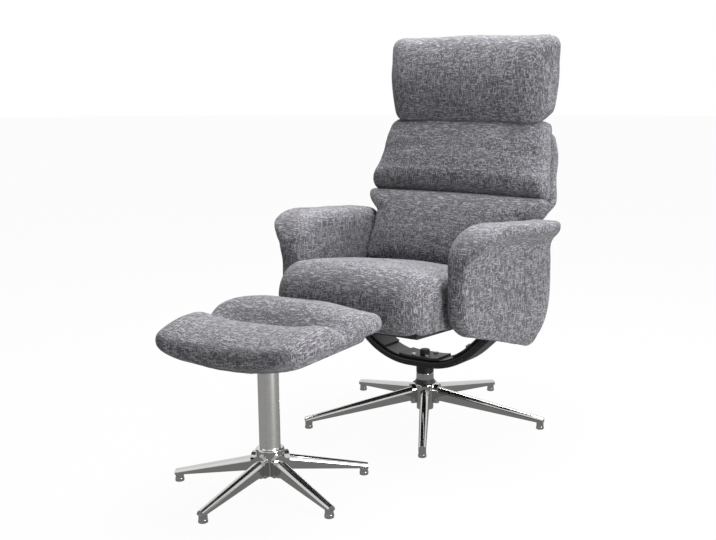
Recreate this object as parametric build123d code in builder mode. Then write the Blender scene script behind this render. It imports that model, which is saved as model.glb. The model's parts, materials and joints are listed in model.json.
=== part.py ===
from build123d import *
import os
from math import asin, cos, degrees, radians, sin, sqrt, tan

os.makedirs("parts", exist_ok=True)

# Swivel push-back recliner with its footstool. Millimetres, +Z up, the sitter faces -Y,
# the origin is where the swivel axis meets the floor.

# Clearances
fit = 0.05
joint_gap = 0.05
soft_gap = 0.4
pocket_gap = 0.2
slot_gap = 0.8

# Widths, worked out from the seat's half width
seat_half = 228
web_in = seat_half + 3
bow_half = web_in + 6
bracket_in = web_in - 16
arm_mid = web_in + 56
rail_mid = seat_half - 33
tube_half = seat_half - 48
head_half = seat_half + 38
head_core_half = seat_half - 28

# Chair star base
leg_count = 5
leg_turn = -57.7
foot_radius = 340
leg_tip_past_foot = 10
leg_root_radius = 30
leg_root_low = 58
leg_root_high = 96
leg_root_width = 28
leg_tip_low = 17
leg_tip_high = 33
leg_tip_width = 20
foot_boss_radius = 10
glide_radius = 11
glide_height = 8
glide_stem_radius = 4
glide_stem_height = 7
hub_spigot_radius = 24
hub_spigot_low = 28
hub_low = 50
hub_top = 105
hub_radius = 33
socket_reach = 43
socket_width = 37
socket_high = 103
leg_screw_radius = 3
leg_screw_head = 5
leg_screw_head_height = 4
leg_screw_at = 37
leg_screw_bite = 15

# Swivel
spindle_radius = 10
spindle_low = 36
ring_height = 11
ring_low_radius = 31
collar_radius = 25
collar_height = 18.5
washer_height = 1.5
sleeve_height = 22
cap_radius = 14
cap_height = 14
spindle_stand = 8

# Bow under the seat
bow_width = 88
bow_thick = 24
bow_edge = 9
bow_flat = 30
bow_radius = 218
bow_angle = 43
plate_thick = 6
plate_half_width = 36
plate_angle = 10
plate_screw_x = 22
plate_screw_y = 24
plate_screw_radius = 4
plate_screw_head = 6.5
plate_screw_head_height = 4
plate_screw_bite = 16

# Side plates that carry the mechanism and the arms
web_thick = 5
web_front = -132
web_rear = 140
web_low = 297
web_top = 462
flange_half = 38
flange_angle = 25
wing_bolt_angle = 40
wing_bolt_y = 20
wing_bolt_radius = 4
wing_bolt_head = 8
wing_bolt_head_height = 6
wing_bolt_bite = 14
wing_bolt_seat_gap = 0.25

# Recline linkage, all in (Y, Z)
recline_y = 118
recline_z = 440
recline_range = 24
seat_share = 0.2
seat_hinge_y = 100
seat_hinge_z = 322
front_pin_y = -60
front_pin_z = 322
pin_radius = 6
pin_head = 10
pin_head_thick = 2.5
nut_radius = 10
nut_thick = 8
bush_radius = 8
bush_flange = 13
bracket_thick = 6
bracket_round = 20
bracket_low_round = 15
bracket_top_round = 12
bracket_top_u = -150
slider_radius = 8
slider_bore = 5
front_pin_head = 10

# Seat
seat_front = -398
seat_rear = 58
seat_bottom_front = 347
seat_bottom_rear = 332
seat_top_front = 494
seat_top_rear = 441
seat_crown = 18
seat_top_edge = -330
seat_corner = 60
seat_rear_corner = 30
seat_top_round = 28
rail_width = 20
rail_height = 20
rail_front = -345
rail_rear = 45
ear_round = 12
seat_strap_count = 6
seat_strap_width = 42
strap_thick = 2

# Arms
arm_thick = 75
arm_toe = 0.06
arm_front = -274
arm_rear = 165
arm_top_front = 608
arm_top_rear = 580
arm_low_front = 336
arm_low_rear = 252
arm_low_turn = 48
arm_nose_long = 130
arm_nose_high = 110
arm_toe_long = 60
arm_toe_high = 45
arm_heel_high = 190
arm_tail_round = 40
arm_plan_long = 45
arm_plan_deep = 24
arm_inner_round = 32
arm_low_round = 28
arm_lip = 56
arm_lip_round = 20
arm_lip_deep = 88
arm_lip_front = 60
arm_lip_rear = 140
core_thick = 16
spacer_radius = 10
arm_bolt_radius = 4
arm_bolt_head = 7.5
arm_bolt_head_thick = 3
arm_bolt_bite = 13
arm_bolt_spots = ((-15, 360), (45, 330), (60, 420))
core_pocket_drop = 110
zip_width = 8
zip_length = 18
zip_thick = 2
zip_y = 88
zip_seat = 0.6

# Back, measured up its slope from the seam and forward from its rear plane
back_lean = 23
seam_y = 198.6
seam_z = 619.5
tube_radius = 11
tube_low = -190
tube_high = 185
tube_back = 16
tube_bend = 40
stub_radius = 7
stub_low_u = -174
pocket_deep = 30
pocket_margin = 13
shell_deep = 50
back_strap_count = 6
back_strap_width = 40
seam_gap = 0.5

# Headrest
head_axis_y = 240
head_axis_z = 850
head_low = 849
head_high = 1090
head_front = 178
head_rear = 318
head_crown = 12
head_bow = 17
head_low_round = 40
head_top_round = 28
head_side_round = 35
hinge_at = 150
hinge_thick = 4
hinge_round = 12
hinge_foot_round = 13
hinge_pin_radius = 4
hinge_slot = 15
head_core_thick = 12
head_core_y = 262
head_core_low = 872
head_core_high = 1048
lever_top = 960

# Footstool
stool_y = -665
stool_turn = 7
stool_leg_turn = -15.5
stool_foot_radius = 235
stool_leg_tip_past_foot = 9
stool_leg_root_low = 48
stool_leg_root_high = 84
stool_leg_root_width = 27
stool_leg_tip_low = 16
stool_leg_tip_high = 30
stool_leg_tip_width = 19
stool_hub_low = 41
stool_hub_top = 103
stool_hub_radius = 34
stool_socket_high = 92
column_radius = 25
column_top = 312
column_spigot = 12
column_bite = 40
stool_plate_half = 75
stool_plate_thick = 6
stool_plate_boss = 4
stool_boss_radius = 32
board_thick = 15.5
board_half = 190
board_half_depth = 165
board_corner = 45
stool_screw_at = 58
stool_screw_radius = 3
stool_screw_head = 6
stool_screw_bite = 12
stool_half = 228
stool_half_depth = 208
stool_corner = 60
stool_seam = 62
stool_crown = 71
stool_edge = 54
stool_saddle = 13
stool_lift = 36
bend_gap = 0.4
stool_top_round = 25


def save(piece, name):
    """Label a finished piece and write it."""
    piece.part.label = name
    export_step(piece.part, f"parts/{name}.step")


def fall(distance, along, deep):
    """How far a rounded end has fallen away at a distance from the end."""
    if distance >= along:
        return 0.0
    share = 1 - distance / along
    return deep * (1 - sqrt(1 - share * share))


def radial(angle, radius, centre_y=0.0):
    """Upright plane facing outward from a column, local y up."""
    a = radians(angle)
    return Plane(
        origin=(radius * cos(a), centre_y + radius * sin(a), 0),
        x_dir=(-sin(a), cos(a), 0),
        z_dir=(cos(a), sin(a), 0),
    )


def at_x(x):
    """Plane of constant X, local axes Y and Z."""
    return Plane.YZ.offset(x)


def at_y(y):
    """Plane of constant Y, local axes X and Z."""
    return Plane.XZ.offset(-y)


def at_z(z):
    """Level plane at a height."""
    return Plane.XY.offset(z)


def swing(point, centre, angle):
    """Turn a (Y, Z) point about a cross axis, positive leaning back."""
    a = radians(angle)
    y = point[0] - centre[0]
    z = point[1] - centre[1]
    return (
        centre[0] + y * cos(a) + z * sin(a),
        centre[1] - y * sin(a) + z * cos(a),
    )


def arch(plane, width, low, high, grow=0.0):
    """Inverted-U section with flat sides under a round ridge."""
    half = width / 2 + grow
    shoulder = high + grow - 0.88 * half
    with BuildSketch(plane) as section:
        with BuildLine():
            Line((-half, low - grow), (half, low - grow))
            Line((half, low - grow), (half, shoulder))
            ThreePointArc((half, shoulder), (0, high + grow), (-half, shoulder))
            Line((-half, shoulder), (-half, low - grow))
        make_face()
    return section.sketch


def disc(plane, radius, at=(0, 0)):
    """Round face on a plane."""
    with BuildSketch(plane) as section:
        with Locations(at):
            Circle(radius)
    return section.sketch


def both_sides(x_from, x_to, yz, radius, mode=Mode.ADD):
    """Cross cylinder between two X values, and its mirror image, in the open part."""
    extrude(disc(at_x(x_from), radius, yz), amount=x_to - x_from, mode=mode)
    extrude(disc(at_x(-x_to), radius, yz), amount=x_to - x_from, mode=mode)


# Star bases
class Star:
    """Sizes of one star base: five tapered legs in the sockets of a hub."""

    def __init__(self, centre_y, turn, foot, tip_past, root, tip, hub):
        self.centre_y = centre_y
        self.turn = turn
        self.foot = foot
        self.tip = foot + tip_past
        self.root_low, self.root_high, self.root_width = root
        self.tip_low, self.tip_high, self.tip_width = tip
        self.hub_low, self.hub_top, self.hub_radius, self.socket_high = hub

    def angle(self, index):
        """Heading of one leg in degrees."""
        return self.turn + index * 360 / leg_count

    def leg_sections(self, index, grow):
        """Root and tip sections of one leg."""
        angle = self.angle(index)
        root_plane = radial(angle, leg_root_radius - grow, self.centre_y)
        tip_plane = radial(angle, self.tip, self.centre_y)
        return [
            arch(root_plane, self.root_width, self.root_low, self.root_high, grow),
            arch(tip_plane, self.tip_width, self.tip_low, self.tip_high, grow),
        ]

    def foot_at(self, index):
        """Centre of one foot in plan."""
        a = radians(self.angle(index))
        return (self.foot * cos(a), self.centre_y + self.foot * sin(a))

    def screw_at(self, index):
        """Centre of one leg screw in plan."""
        a = radians(self.angle(index))
        return (leg_screw_at * cos(a), self.centre_y + leg_screw_at * sin(a))


chair_star = Star(
    0,
    leg_turn,
    foot_radius,
    leg_tip_past_foot,
    (leg_root_low, leg_root_high, leg_root_width),
    (leg_tip_low, leg_tip_high, leg_tip_width),
    (hub_low, hub_top, hub_radius, socket_high),
)
stool_star = Star(
    stool_y,
    stool_leg_turn,
    stool_foot_radius,
    stool_leg_tip_past_foot,
    (stool_leg_root_low, stool_leg_root_high, stool_leg_root_width),
    (stool_leg_tip_low, stool_leg_tip_high, stool_leg_tip_width),
    (stool_hub_low, stool_hub_top, stool_hub_radius, stool_socket_high),
)


def write_legs(star, name):
    """Five legs with foot bosses, each bored for its glide and its screw."""
    for index in range(leg_count):
        angle = star.angle(index)
        with BuildPart() as leg:
            loft(star.leg_sections(index, 0.0))
            tip_end = leg.faces().sort_by_distance(radial(angle, star.tip * 2, star.centre_y).origin)[0]
            fillet(tip_end.edges(), 3)
            boss = disc(at_z(glide_height), foot_boss_radius, star.foot_at(index))
            extrude(boss, amount=star.tip_low + 4 - glide_height)
            stem = disc(at_z(glide_height), glide_stem_radius + fit, star.foot_at(index))
            extrude(stem, amount=glide_stem_height + 0.5, mode=Mode.SUBTRACT)
            bore = disc(at_z(star.root_low - 6), leg_screw_radius + fit, star.screw_at(index))
            extrude(bore, amount=6 + leg_screw_bite + 0.5, mode=Mode.SUBTRACT)
        save(leg, f"{name}_leg_{index + 1}")


def write_hub(star, name, bore_radius, bore_low, spigot):
    """Hub with five arched sockets, bored for what stands in it."""
    with BuildPart() as hub:
        centre = (0, star.centre_y)
        extrude(disc(at_z(star.hub_low), star.hub_radius, centre), amount=star.hub_top - star.hub_low)
        fillet(hub.edges().group_by(Axis.Z)[-1], 4)
        for index in range(leg_count):
            root = radial(star.angle(index), 15, star.centre_y)
            socket = arch(root, socket_width, star.hub_low, star.socket_high)
            extrude(socket, amount=socket_reach - 15)
        if spigot:
            spigot = disc(at_z(hub_spigot_low), hub_spigot_radius, centre)
            extrude(spigot, amount=star.hub_low - hub_spigot_low)
        for index in range(leg_count):
            loft(star.leg_sections(index, pocket_gap), mode=Mode.SUBTRACT)
            hole = disc(at_z(star.hub_low), leg_screw_radius + fit, star.screw_at(index))
            extrude(hole, amount=star.root_low - star.hub_low, mode=Mode.SUBTRACT)
        bore = disc(at_z(bore_low), bore_radius + fit, (0, star.centre_y))
        extrude(bore, amount=star.hub_top - bore_low + 1, mode=Mode.SUBTRACT)
    save(hub, f"{name}_hub")


def write_glides(star, name):
    """Glides under the feet, each with a stem in the foot."""
    with BuildPart() as glides:
        for index in range(leg_count):
            extrude(disc(at_z(0), glide_radius, star.foot_at(index)), amount=glide_height - joint_gap)
        fillet(glides.edges().group_by(Axis.Z)[0], 2)
        for index in range(leg_count):
            extrude(disc(at_z(glide_height / 2), glide_stem_radius, star.foot_at(index)),
                    amount=glide_height / 2 + glide_stem_height)
    save(glides, f"{name}_glides")


def write_leg_screws(star, name):
    """Screws that hold the leg roots in the hub from below."""
    with BuildPart() as screws:
        for index in range(leg_count):
            spot = star.screw_at(index)
            head_low = star.hub_low - leg_screw_head_height - joint_gap
            extrude(disc(at_z(head_low), leg_screw_head, spot), amount=leg_screw_head_height)
            extrude(disc(at_z(head_low + 1), leg_screw_radius, spot),
                    amount=star.root_low + leg_screw_bite - head_low - 1)
    save(screws, f"{name}_leg_screws")


write_legs(chair_star, "base")
write_hub(chair_star, "base", spindle_radius, spindle_low, True)
write_glides(chair_star, "base")
write_leg_screws(chair_star, "base")

# Swivel stack
ring_top = hub_top + joint_gap + ring_height
collar_top = ring_top + collar_height
washer_top = collar_top + joint_gap + washer_height
sleeve_top = washer_top + joint_gap + sleeve_height
bow_low = sleeve_top + joint_gap
bow_mid = bow_low + bow_thick / 2
bow_top = bow_low + bow_thick
plate_mid = bow_top + joint_gap + plate_thick / 2
plate_top = plate_mid + plate_thick / 2
spindle_top = plate_top + spindle_stand

with BuildPart() as base_spindle:
    extrude(disc(at_z(spindle_low + joint_gap), spindle_radius), amount=spindle_top - spindle_low - joint_gap)
    chamfer(base_spindle.edges().group_by(Axis.Z)[-1], 1.5)
save(base_spindle, "base_spindle")

with BuildPart() as hub_ring:
    loft([disc(at_z(hub_top + joint_gap), ring_low_radius), disc(at_z(ring_top), collar_radius)])
    extrude(disc(at_z(hub_top), spindle_radius + fit), amount=ring_height + 1, mode=Mode.SUBTRACT)
save(hub_ring, "hub_ring")

with BuildPart() as base_collar:
    extrude(disc(at_z(ring_top + joint_gap), collar_radius), amount=collar_height - joint_gap)
    fillet(base_collar.edges().group_by(Axis.Z)[-1], 1.5)
    extrude(disc(at_z(ring_top), spindle_radius + fit), amount=collar_height, mode=Mode.SUBTRACT)
save(base_collar, "base_collar")

with BuildPart() as swivel_washer:
    extrude(disc(at_z(collar_top + joint_gap), collar_radius - 2), amount=washer_height)
    extrude(disc(at_z(collar_top), spindle_radius + fit), amount=washer_height + 1, mode=Mode.SUBTRACT)
save(swivel_washer, "swivel_washer")

with BuildPart() as swivel_sleeve:
    extrude(disc(at_z(washer_top + joint_gap), collar_radius), amount=sleeve_height)
    extrude(disc(at_z(washer_top), spindle_radius + fit), amount=sleeve_height + 1, mode=Mode.SUBTRACT)
save(swivel_sleeve, "swivel_sleeve")

with BuildPart() as spindle_cap:
    extrude(disc(at_z(plate_top + 0.3), cap_radius), amount=cap_height)
    fillet(spindle_cap.edges().group_by(Axis.Z)[-1], 3)
    extrude(disc(at_z(plate_top), spindle_radius + fit), amount=spindle_stand + joint_gap, mode=Mode.SUBTRACT)
save(spindle_cap, "spindle_cap")

# Bow: one bent band, flat in the middle, curving up to straight wings
arc_centre_z = bow_mid + bow_radius
wing_rise = tan(radians(bow_angle))


def bow_path(radius, half, start_angle=0.0):
    """Right half of a line that follows the bow at a radius about its bend centre."""
    with BuildLine(Plane.XZ) as path:
        if start_angle == 0.0:
            Line((0, arc_centre_z - radius), (bow_flat, arc_centre_z - radius))
        bend = CenterArc((bow_flat, arc_centre_z), radius, start_angle - 90, bow_angle - start_angle)
        end = bend @ 1
        Line((end.X, end.Z), (half, end.Z + (half - end.X) * wing_rise))
    return path.line


def bow_point(radius, angle):
    """Point on the right bend at a radius and an angle from straight down, as (X, Z)."""
    a = radians(angle)
    return (bow_flat + radius * sin(a), arc_centre_z - radius * cos(a))


def wing_plane(radius, angle, y, hand):
    """Plane square to the bend at a point, facing up and inward."""
    a = radians(angle)
    x, z = bow_point(radius, angle)
    return Plane(origin=(hand * x, y, z), x_dir=(0, 1, 0), z_dir=(-hand * sin(a), 0, cos(a)))


bow_upper = bow_radius - bow_thick / 2
flange_low = bow_upper - 0.1
flange_mid = flange_low - web_thick / 2
flange_top = flange_low - web_thick

with BuildPart() as bow:
    with BuildSketch(Plane.YZ):
        with Locations((0, bow_mid)):
            RectangleRounded(bow_width, bow_thick, bow_edge)
    sweep(path=bow_path(bow_radius, bow_half))
    mirror(bow.part, about=Plane.YZ)
    extrude(disc(at_z(bow_low - 1), spindle_radius + 3 * fit), amount=bow_thick + 2, mode=Mode.SUBTRACT)
    for x in (-plate_screw_x, plate_screw_x):
        for y in (-plate_screw_y, plate_screw_y):
            hole = disc(at_z(bow_top - plate_screw_bite), plate_screw_radius + fit, (x, y))
            extrude(hole, amount=plate_screw_bite + 1, mode=Mode.SUBTRACT)
    for hand in (-1, 1):
        for y in (-wing_bolt_y, wing_bolt_y):
            hole = disc(wing_plane(flange_top, wing_bolt_angle, y, hand), wing_bolt_radius + fit)
            extrude(hole, amount=-(web_thick + wing_bolt_bite + 0.5), mode=Mode.SUBTRACT)
save(bow, "bow")

with BuildPart() as swivel_plate:
    with BuildSketch(Plane.XZ):
        with BuildLine():
            Line((0, plate_mid), (bow_flat, plate_mid))
            CenterArc((bow_flat, arc_centre_z), arc_centre_z - plate_mid, -90, plate_angle)
        trace(line_width=plate_thick)
    extrude(amount=plate_half_width, both=True)
    mirror(swivel_plate.part, about=Plane.YZ)
    extrude(disc(at_z(bow_top), spindle_radius + fit), amount=plate_thick + 2, mode=Mode.SUBTRACT)
    for x in (-plate_screw_x, plate_screw_x):
        for y in (-plate_screw_y, plate_screw_y):
            hole = disc(at_z(bow_top), plate_screw_radius + 2 * fit, (x, y))
            extrude(hole, amount=plate_thick + 2, mode=Mode.SUBTRACT)
save(swivel_plate, "swivel_plate")

with BuildPart() as plate_screws:
    for x in (-plate_screw_x, plate_screw_x):
        for y in (-plate_screw_y, plate_screw_y):
            head = disc(at_z(plate_top + joint_gap), plate_screw_head, (x, y))
            extrude(head, amount=plate_screw_head_height)
            shank_low = bow_top - plate_screw_bite + 0.5
            extrude(disc(at_z(shank_low), plate_screw_radius, (x, y)), amount=plate_top + 1 - shank_low)
save(plate_screws, "plate_screws")

with BuildPart() as bow_bolts:
    for hand in (-1, 1):
        for y in (-wing_bolt_y, wing_bolt_y):
            seat = wing_plane(flange_top - wing_bolt_seat_gap, wing_bolt_angle, y, hand)
            with BuildSketch(seat):
                RegularPolygon(wing_bolt_head, 6)
            extrude(amount=wing_bolt_head_height)
            extrude(disc(seat, wing_bolt_radius), amount=-(web_thick + wing_bolt_bite))
save(bow_bolts, "bow_bolts")

# Recline linkage
pivot = (recline_y, recline_z)
seat_hinge = (seat_hinge_y, seat_hinge_z)
front_pin = (front_pin_y, front_pin_z)


def front_pin_when(angle):
    """Where the seat's front pin stands when the back has leaned by an angle."""
    hinge = swing(seat_hinge, pivot, angle)
    reach = (front_pin_y - seat_hinge_y, front_pin_z - seat_hinge_z)
    tilted = swing(reach, (0, 0), seat_share * angle)
    return (hinge[0] + tilted[0], hinge[1] + tilted[1])


slot_path = ThreePointArc(front_pin, front_pin_when(recline_range / 2), front_pin_when(recline_range))


def web_outline():
    """Outline of a side plate's upright web."""
    with BuildSketch(at_x(web_in)) as outline:
        with BuildLine():
            FilletPolyline(
                (web_front, web_low + 22),
                (web_front + 14, web_low),
                (40, web_low),
                (62, web_low + 33),
                (web_rear, web_top - 47),
                (web_rear, web_top),
                (web_rear - 45, web_top),
                (-92, web_low + 86),
                (web_front, web_low + 76),
                radius=9,
                close=True,
            )
        make_face()
    return outline.sketch


with BuildPart() as side_plate_right:
    extrude(web_outline(), amount=web_thick)
    with BuildSketch(Plane.XZ):
        with BuildLine():
            turn = bow_angle - flange_angle
            bend = CenterArc((bow_flat, arc_centre_z), flange_mid, flange_angle - 90, turn)
            end = bend @ 1
            reach = web_in + 0.6 * web_thick
            Line(end, (reach, end.Y + (reach - end.X) * wing_rise))
        trace(line_width=web_thick)
    extrude(amount=flange_half, both=True)
    extrude(disc(at_x(web_in - 1), pin_radius + fit, pivot), amount=web_thick + 2, mode=Mode.SUBTRACT)
    with BuildSketch(at_x(web_in - 1)):
        SlotArc(slot_path, 2 * (slider_radius + slot_gap))
    extrude(amount=web_thick + 2, mode=Mode.SUBTRACT)
    for spot in arm_bolt_spots:
        extrude(disc(at_x(web_in), arm_bolt_radius + 2 * fit, spot), amount=web_thick + 1, mode=Mode.SUBTRACT)
        extrude(disc(at_x(web_in), arm_bolt_head + 0.2, spot), amount=arm_bolt_head_thick, mode=Mode.SUBTRACT)
    for y in (-wing_bolt_y, wing_bolt_y):
        hole = disc(wing_plane(flange_top - 1, wing_bolt_angle, y, 1), wing_bolt_radius + 3 * fit)
        extrude(hole, amount=-(web_thick + 2), mode=Mode.SUBTRACT)
save(side_plate_right, "side_plate_right")

with BuildPart() as side_plate_left:
    mirror(side_plate_right.part, about=Plane.YZ)
save(side_plate_left, "side_plate_left")

web_out = web_in + web_thick
with BuildPart() as recline_pins:
    head_in = bracket_in - 0.3 - pin_head_thick
    both_sides(head_in, head_in + pin_head_thick, pivot, pin_head)
    both_sides(head_in + 1, web_out + nut_thick + 2, pivot, pin_radius)
save(recline_pins, "recline_pins")

with BuildPart() as recline_nuts:
    with BuildSketch(at_x(web_out + joint_gap)):
        with Locations(pivot):
            RegularPolygon(nut_radius, 6)
    extrude(amount=nut_thick)
    mirror(recline_nuts.part, about=Plane.YZ)
    both_sides(web_out, web_out + nut_thick + 1, pivot, pin_radius + fit, Mode.SUBTRACT)
save(recline_nuts, "recline_nuts")

bracket_out = bracket_in + bracket_thick
with BuildPart() as recline_bushes:
    both_sides(bracket_in - 0.1, bracket_out + 1, pivot, bush_radius)
    both_sides(bracket_out + joint_gap, web_in - joint_gap, pivot, bush_flange)
    both_sides(bracket_in - 1, web_in + 1, pivot, pin_radius + fit, Mode.SUBTRACT)
save(recline_bushes, "recline_bushes")

# Seat
bottom_slope = (seat_bottom_rear - seat_bottom_front) / (seat_rear - seat_front)


def seat_bottom(y):
    """Height of the seat pad's underside."""
    return seat_bottom_front + (y - seat_front) * bottom_slope


def seat_section(x):
    """Side section of the seat pad: flat below, rolled front, crowned top."""
    edge = seat_half - abs(x)
    front = seat_front + fall(edge, seat_corner, seat_corner)
    rear = seat_rear - fall(edge, seat_rear_corner, seat_rear_corner)
    drop = seat_crown * (x / seat_half) ** 2 + fall(edge, seat_top_round, seat_top_round)
    front_top = (front + seat_top_edge - seat_front, seat_top_front - drop)
    rear_top = (rear - 12, seat_top_rear - drop)
    front_low = (front + 20, seat_bottom(front + 20))
    rear_low = (rear - 14, seat_bottom(rear - 14))
    mid_front = (front_top[1] + front_low[1]) / 2 + 6
    mid_rear = (rear_top[1] + rear_low[1]) / 2
    mid_top = ((front_top[0] + rear_top[0]) / 2, (front_top[1] + rear_top[1]) / 2 + 7)
    with BuildSketch(at_x(x)) as section:
        with BuildLine():
            Line(front_low, rear_low)
            ThreePointArc(rear_low, (rear, mid_rear), rear_top)
            ThreePointArc(rear_top, mid_top, front_top)
            ThreePointArc(front_top, (front, mid_front), front_low)
        make_face()
    return section.sketch




def pad_stations(half):
    """Stations across a pad: its middle, its flanks, where its sides round off and its ends."""
    right = [0.56 * half, half - 25, half]
    return [-x for x in reversed(right)] + [0.0] + right



with BuildPart() as seat_pad:
    loft([seat_section(x) for x in pad_stations(seat_half)])
save(seat_pad, "seat_pad")

rail_in = rail_mid - rail_width / 2
rail_out = rail_mid + rail_width / 2
strap_step = (rail_rear - rail_front - 2 * rail_width - 30) / (seat_strap_count - 1)
strap_spots = [rail_front + rail_width + 15 + strap_step * i for i in range(seat_strap_count)]


def strap_plane(y):
    """Plane along the rail tops at one strap, local x across the seat."""
    return Plane(
        origin=(0, y, seat_bottom(y) - soft_gap),
        x_dir=(1, 0, 0),
        z_dir=Vector(0, -bottom_slope, 1),
    )


with BuildPart() as seat_frame:
    for side in (-1, 1):
        low_x = min(side * rail_in, side * rail_out)
        with BuildSketch(at_x(low_x)):
            with BuildLine():
                Polyline(
                    (rail_front, seat_bottom(rail_front) - soft_gap),
                    (rail_front, seat_bottom(rail_front) - soft_gap - rail_height),
                    (rail_rear, seat_bottom(rail_rear) - soft_gap - rail_height),
                    (rail_rear, seat_bottom(rail_rear) - soft_gap),
                    close=True,
                )
            make_face()
        extrude(amount=rail_width)
        with BuildSketch(at_x(low_x)):
            with Locations(seat_hinge):
                Circle(ear_round)
            with Locations((rail_rear - 12, seat_bottom(rail_rear) - soft_gap - rail_height / 2)):
                Circle(rail_height / 2)
            make_hull()
        extrude(amount=rail_width)
    for y in (rail_front + rail_width / 2, rail_rear - rail_width / 2):
        with BuildSketch(strap_plane(y)):
            Rectangle(2 * rail_mid, rail_width)
        extrude(amount=-rail_height)
    for y in strap_spots:
        with BuildSketch(strap_plane(y)):
            Rectangle(2 * (rail_out - 4), seat_strap_width + 1)
        extrude(amount=-(strap_thick + 0.4), mode=Mode.SUBTRACT)
    bore = disc(at_x(-rail_out - 1), pin_radius + fit, seat_hinge)
    extrude(bore, amount=2 * rail_out + 2, mode=Mode.SUBTRACT)
    both_sides(rail_in + 4, rail_out + 1, front_pin, slider_bore + fit, Mode.SUBTRACT)
save(seat_frame, "seat_frame")

with BuildPart() as seat_straps:
    for y in strap_spots:
        with BuildSketch(strap_plane(y).offset(-0.2)):
            Rectangle(2 * (rail_out - 4.5), seat_strap_width)
        extrude(amount=-strap_thick)
save(seat_straps, "seat_straps")

with BuildPart() as seat_rod:
    extrude(disc(at_x(-(bracket_out + 5)), pin_radius, seat_hinge), amount=2 * (bracket_out + 5))
    chamfer(seat_rod.edges().filter_by(GeomType.CIRCLE), 1)
save(seat_rod, "seat_rod")

with BuildPart() as front_pins:
    both_sides(rail_in + 5, web_out + 2, front_pin, slider_bore)
    both_sides(web_out + 1, web_out + 3, front_pin, front_pin_head)
save(front_pins, "front_pins")

with BuildPart() as front_sliders:
    both_sides(web_in - 0.5, web_out + 0.5, front_pin, slider_radius)
    both_sides(web_in - 4, web_in - 0.5, front_pin, slider_radius + 4)
    both_sides(web_in - 5, web_out + 1, front_pin, slider_bore + fit, Mode.SUBTRACT)
save(front_sliders, "front_sliders")

# Arms
top_slope = (arm_top_rear - arm_top_front) / (arm_rear - arm_front)
low_slope = (arm_low_rear - arm_low_front) / (arm_low_turn - arm_front)
toe_norm = sqrt(1 + arm_toe * arm_toe)


def arm_section(y):
    """Cross section of the right arm: rounded inside, a lip turned outward at the top."""
    from_front = y - arm_front
    from_rear = arm_rear - y
    draw_in = fall(from_front, arm_plan_long, arm_plan_deep) + fall(from_rear, arm_tail_round, arm_plan_deep)
    inner = arm_mid + arm_toe * y - arm_thick / 2 + draw_in
    outer = arm_mid + arm_toe * y + arm_thick / 2 - draw_in
    high = arm_top_front + from_front * top_slope
    high -= fall(from_front, arm_nose_long, arm_nose_high) + fall(from_rear, arm_tail_round, arm_tail_round)
    low = arm_low_front + min(from_front, arm_low_turn - arm_front) * low_slope
    low += fall(from_front, arm_toe_long, arm_toe_high)
    low += fall(from_rear, arm_rear - arm_low_turn, arm_heel_high)
    lip = arm_lip - fall(from_front, arm_lip_front, arm_lip) - fall(from_rear, arm_lip_rear, arm_lip)
    width = outer - inner
    inner_round = min(arm_inner_round, 0.42 * width)
    low_round = min(arm_low_round, 0.42 * width)
    lip_round = min(arm_lip_round, 0.3 * width)
    deep = min(arm_lip_deep, 0.55 * (high - low))
    tip = outer + lip
    under = (tip - 0.5 * lip_round, high - 1.75 * lip_round)
    foot = (outer, high - deep)
    sag = 3 + 9 * lip / arm_lip
    hollow = (0.6 * foot[0] + 0.4 * under[0] - sag, 0.5 * (foot[1] + under[1]))
    c = 0.2929
    with BuildSketch(at_y(y)) as section:
        with BuildLine():
            Line((inner, low + low_round), (inner, high - inner_round))
            ThreePointArc(
                (inner, high - inner_round),
                (inner + c * inner_round, high - c * inner_round),
                (inner + inner_round, high),
            )
            Line((inner + inner_round, high), (tip - lip_round, high))
            ThreePointArc((tip - lip_round, high), (tip, high - 0.8 * lip_round), under)
            ThreePointArc(under, hollow, foot)
            Line(foot, (outer, low + low_round))
            ThreePointArc(
                (outer, low + low_round),
                (outer - c * low_round, low + c * low_round),
                (outer - low_round, low),
            )
            Line((outer - low_round, low), (inner + low_round, low))
            ThreePointArc(
                (inner + low_round, low),
                (inner + c * low_round, low + c * low_round),
                (inner, low + low_round),
            )
        make_face()
    return section.sketch


arm_stations = [arm_front + d for d in (0, 5, 20, 50, 105, 190)]
arm_stations += [arm_rear - d for d in (150, 80, 35, 12, 2.5, 0)]
core_plane = Plane(
    origin=(arm_mid, 0, 0),
    x_dir=(arm_toe / toe_norm, 1 / toe_norm, 0),
    z_dir=(1 / toe_norm, -arm_toe / toe_norm, 0),
)


def core_outline(grow, drop):
    """Outline of the arm's plywood core, opened downward by a drop for its pocket."""
    with BuildSketch(core_plane.offset(-core_thick / 2 - grow)) as outline:
        with BuildLine():
            Polyline(
                (arm_front + 54 - grow, 372 - drop),
                (arm_front + 54 - grow, 495 + grow),
                (arm_front + 120, 540 + grow),
                (arm_rear - 60, 530 + grow),
                (arm_rear - 47 + grow, 440),
                (62, 300 - drop),
                (10, 288 - drop),
                (-185, 336 - drop),
                close=True,
            )
        make_face()
    return outline.sketch


with BuildPart() as arm_core_right:
    extrude(core_outline(0.0, 0.0), amount=core_thick)
    for spot in arm_bolt_spots:
        extrude(disc(at_x(web_in), arm_bolt_radius + fit, spot), amount=120, mode=Mode.SUBTRACT)
save(arm_core_right, "arm_core_right")

with BuildPart() as arm_core_left:
    mirror(arm_core_right.part, about=Plane.YZ)
save(arm_core_left, "arm_core_left")

with BuildPart() as arm_pad_right:
    loft([arm_section(y) for y in arm_stations])
    extrude(core_outline(soft_gap, core_pocket_drop), amount=core_thick + 2 * soft_gap, mode=Mode.SUBTRACT)
    for spot in arm_bolt_spots:
        seat = disc(at_x(web_out), spacer_radius + soft_gap, spot)
        extrude(seat, amount=arm_mid - web_out, mode=Mode.SUBTRACT)
save(arm_pad_right, "arm_pad_right")

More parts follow.
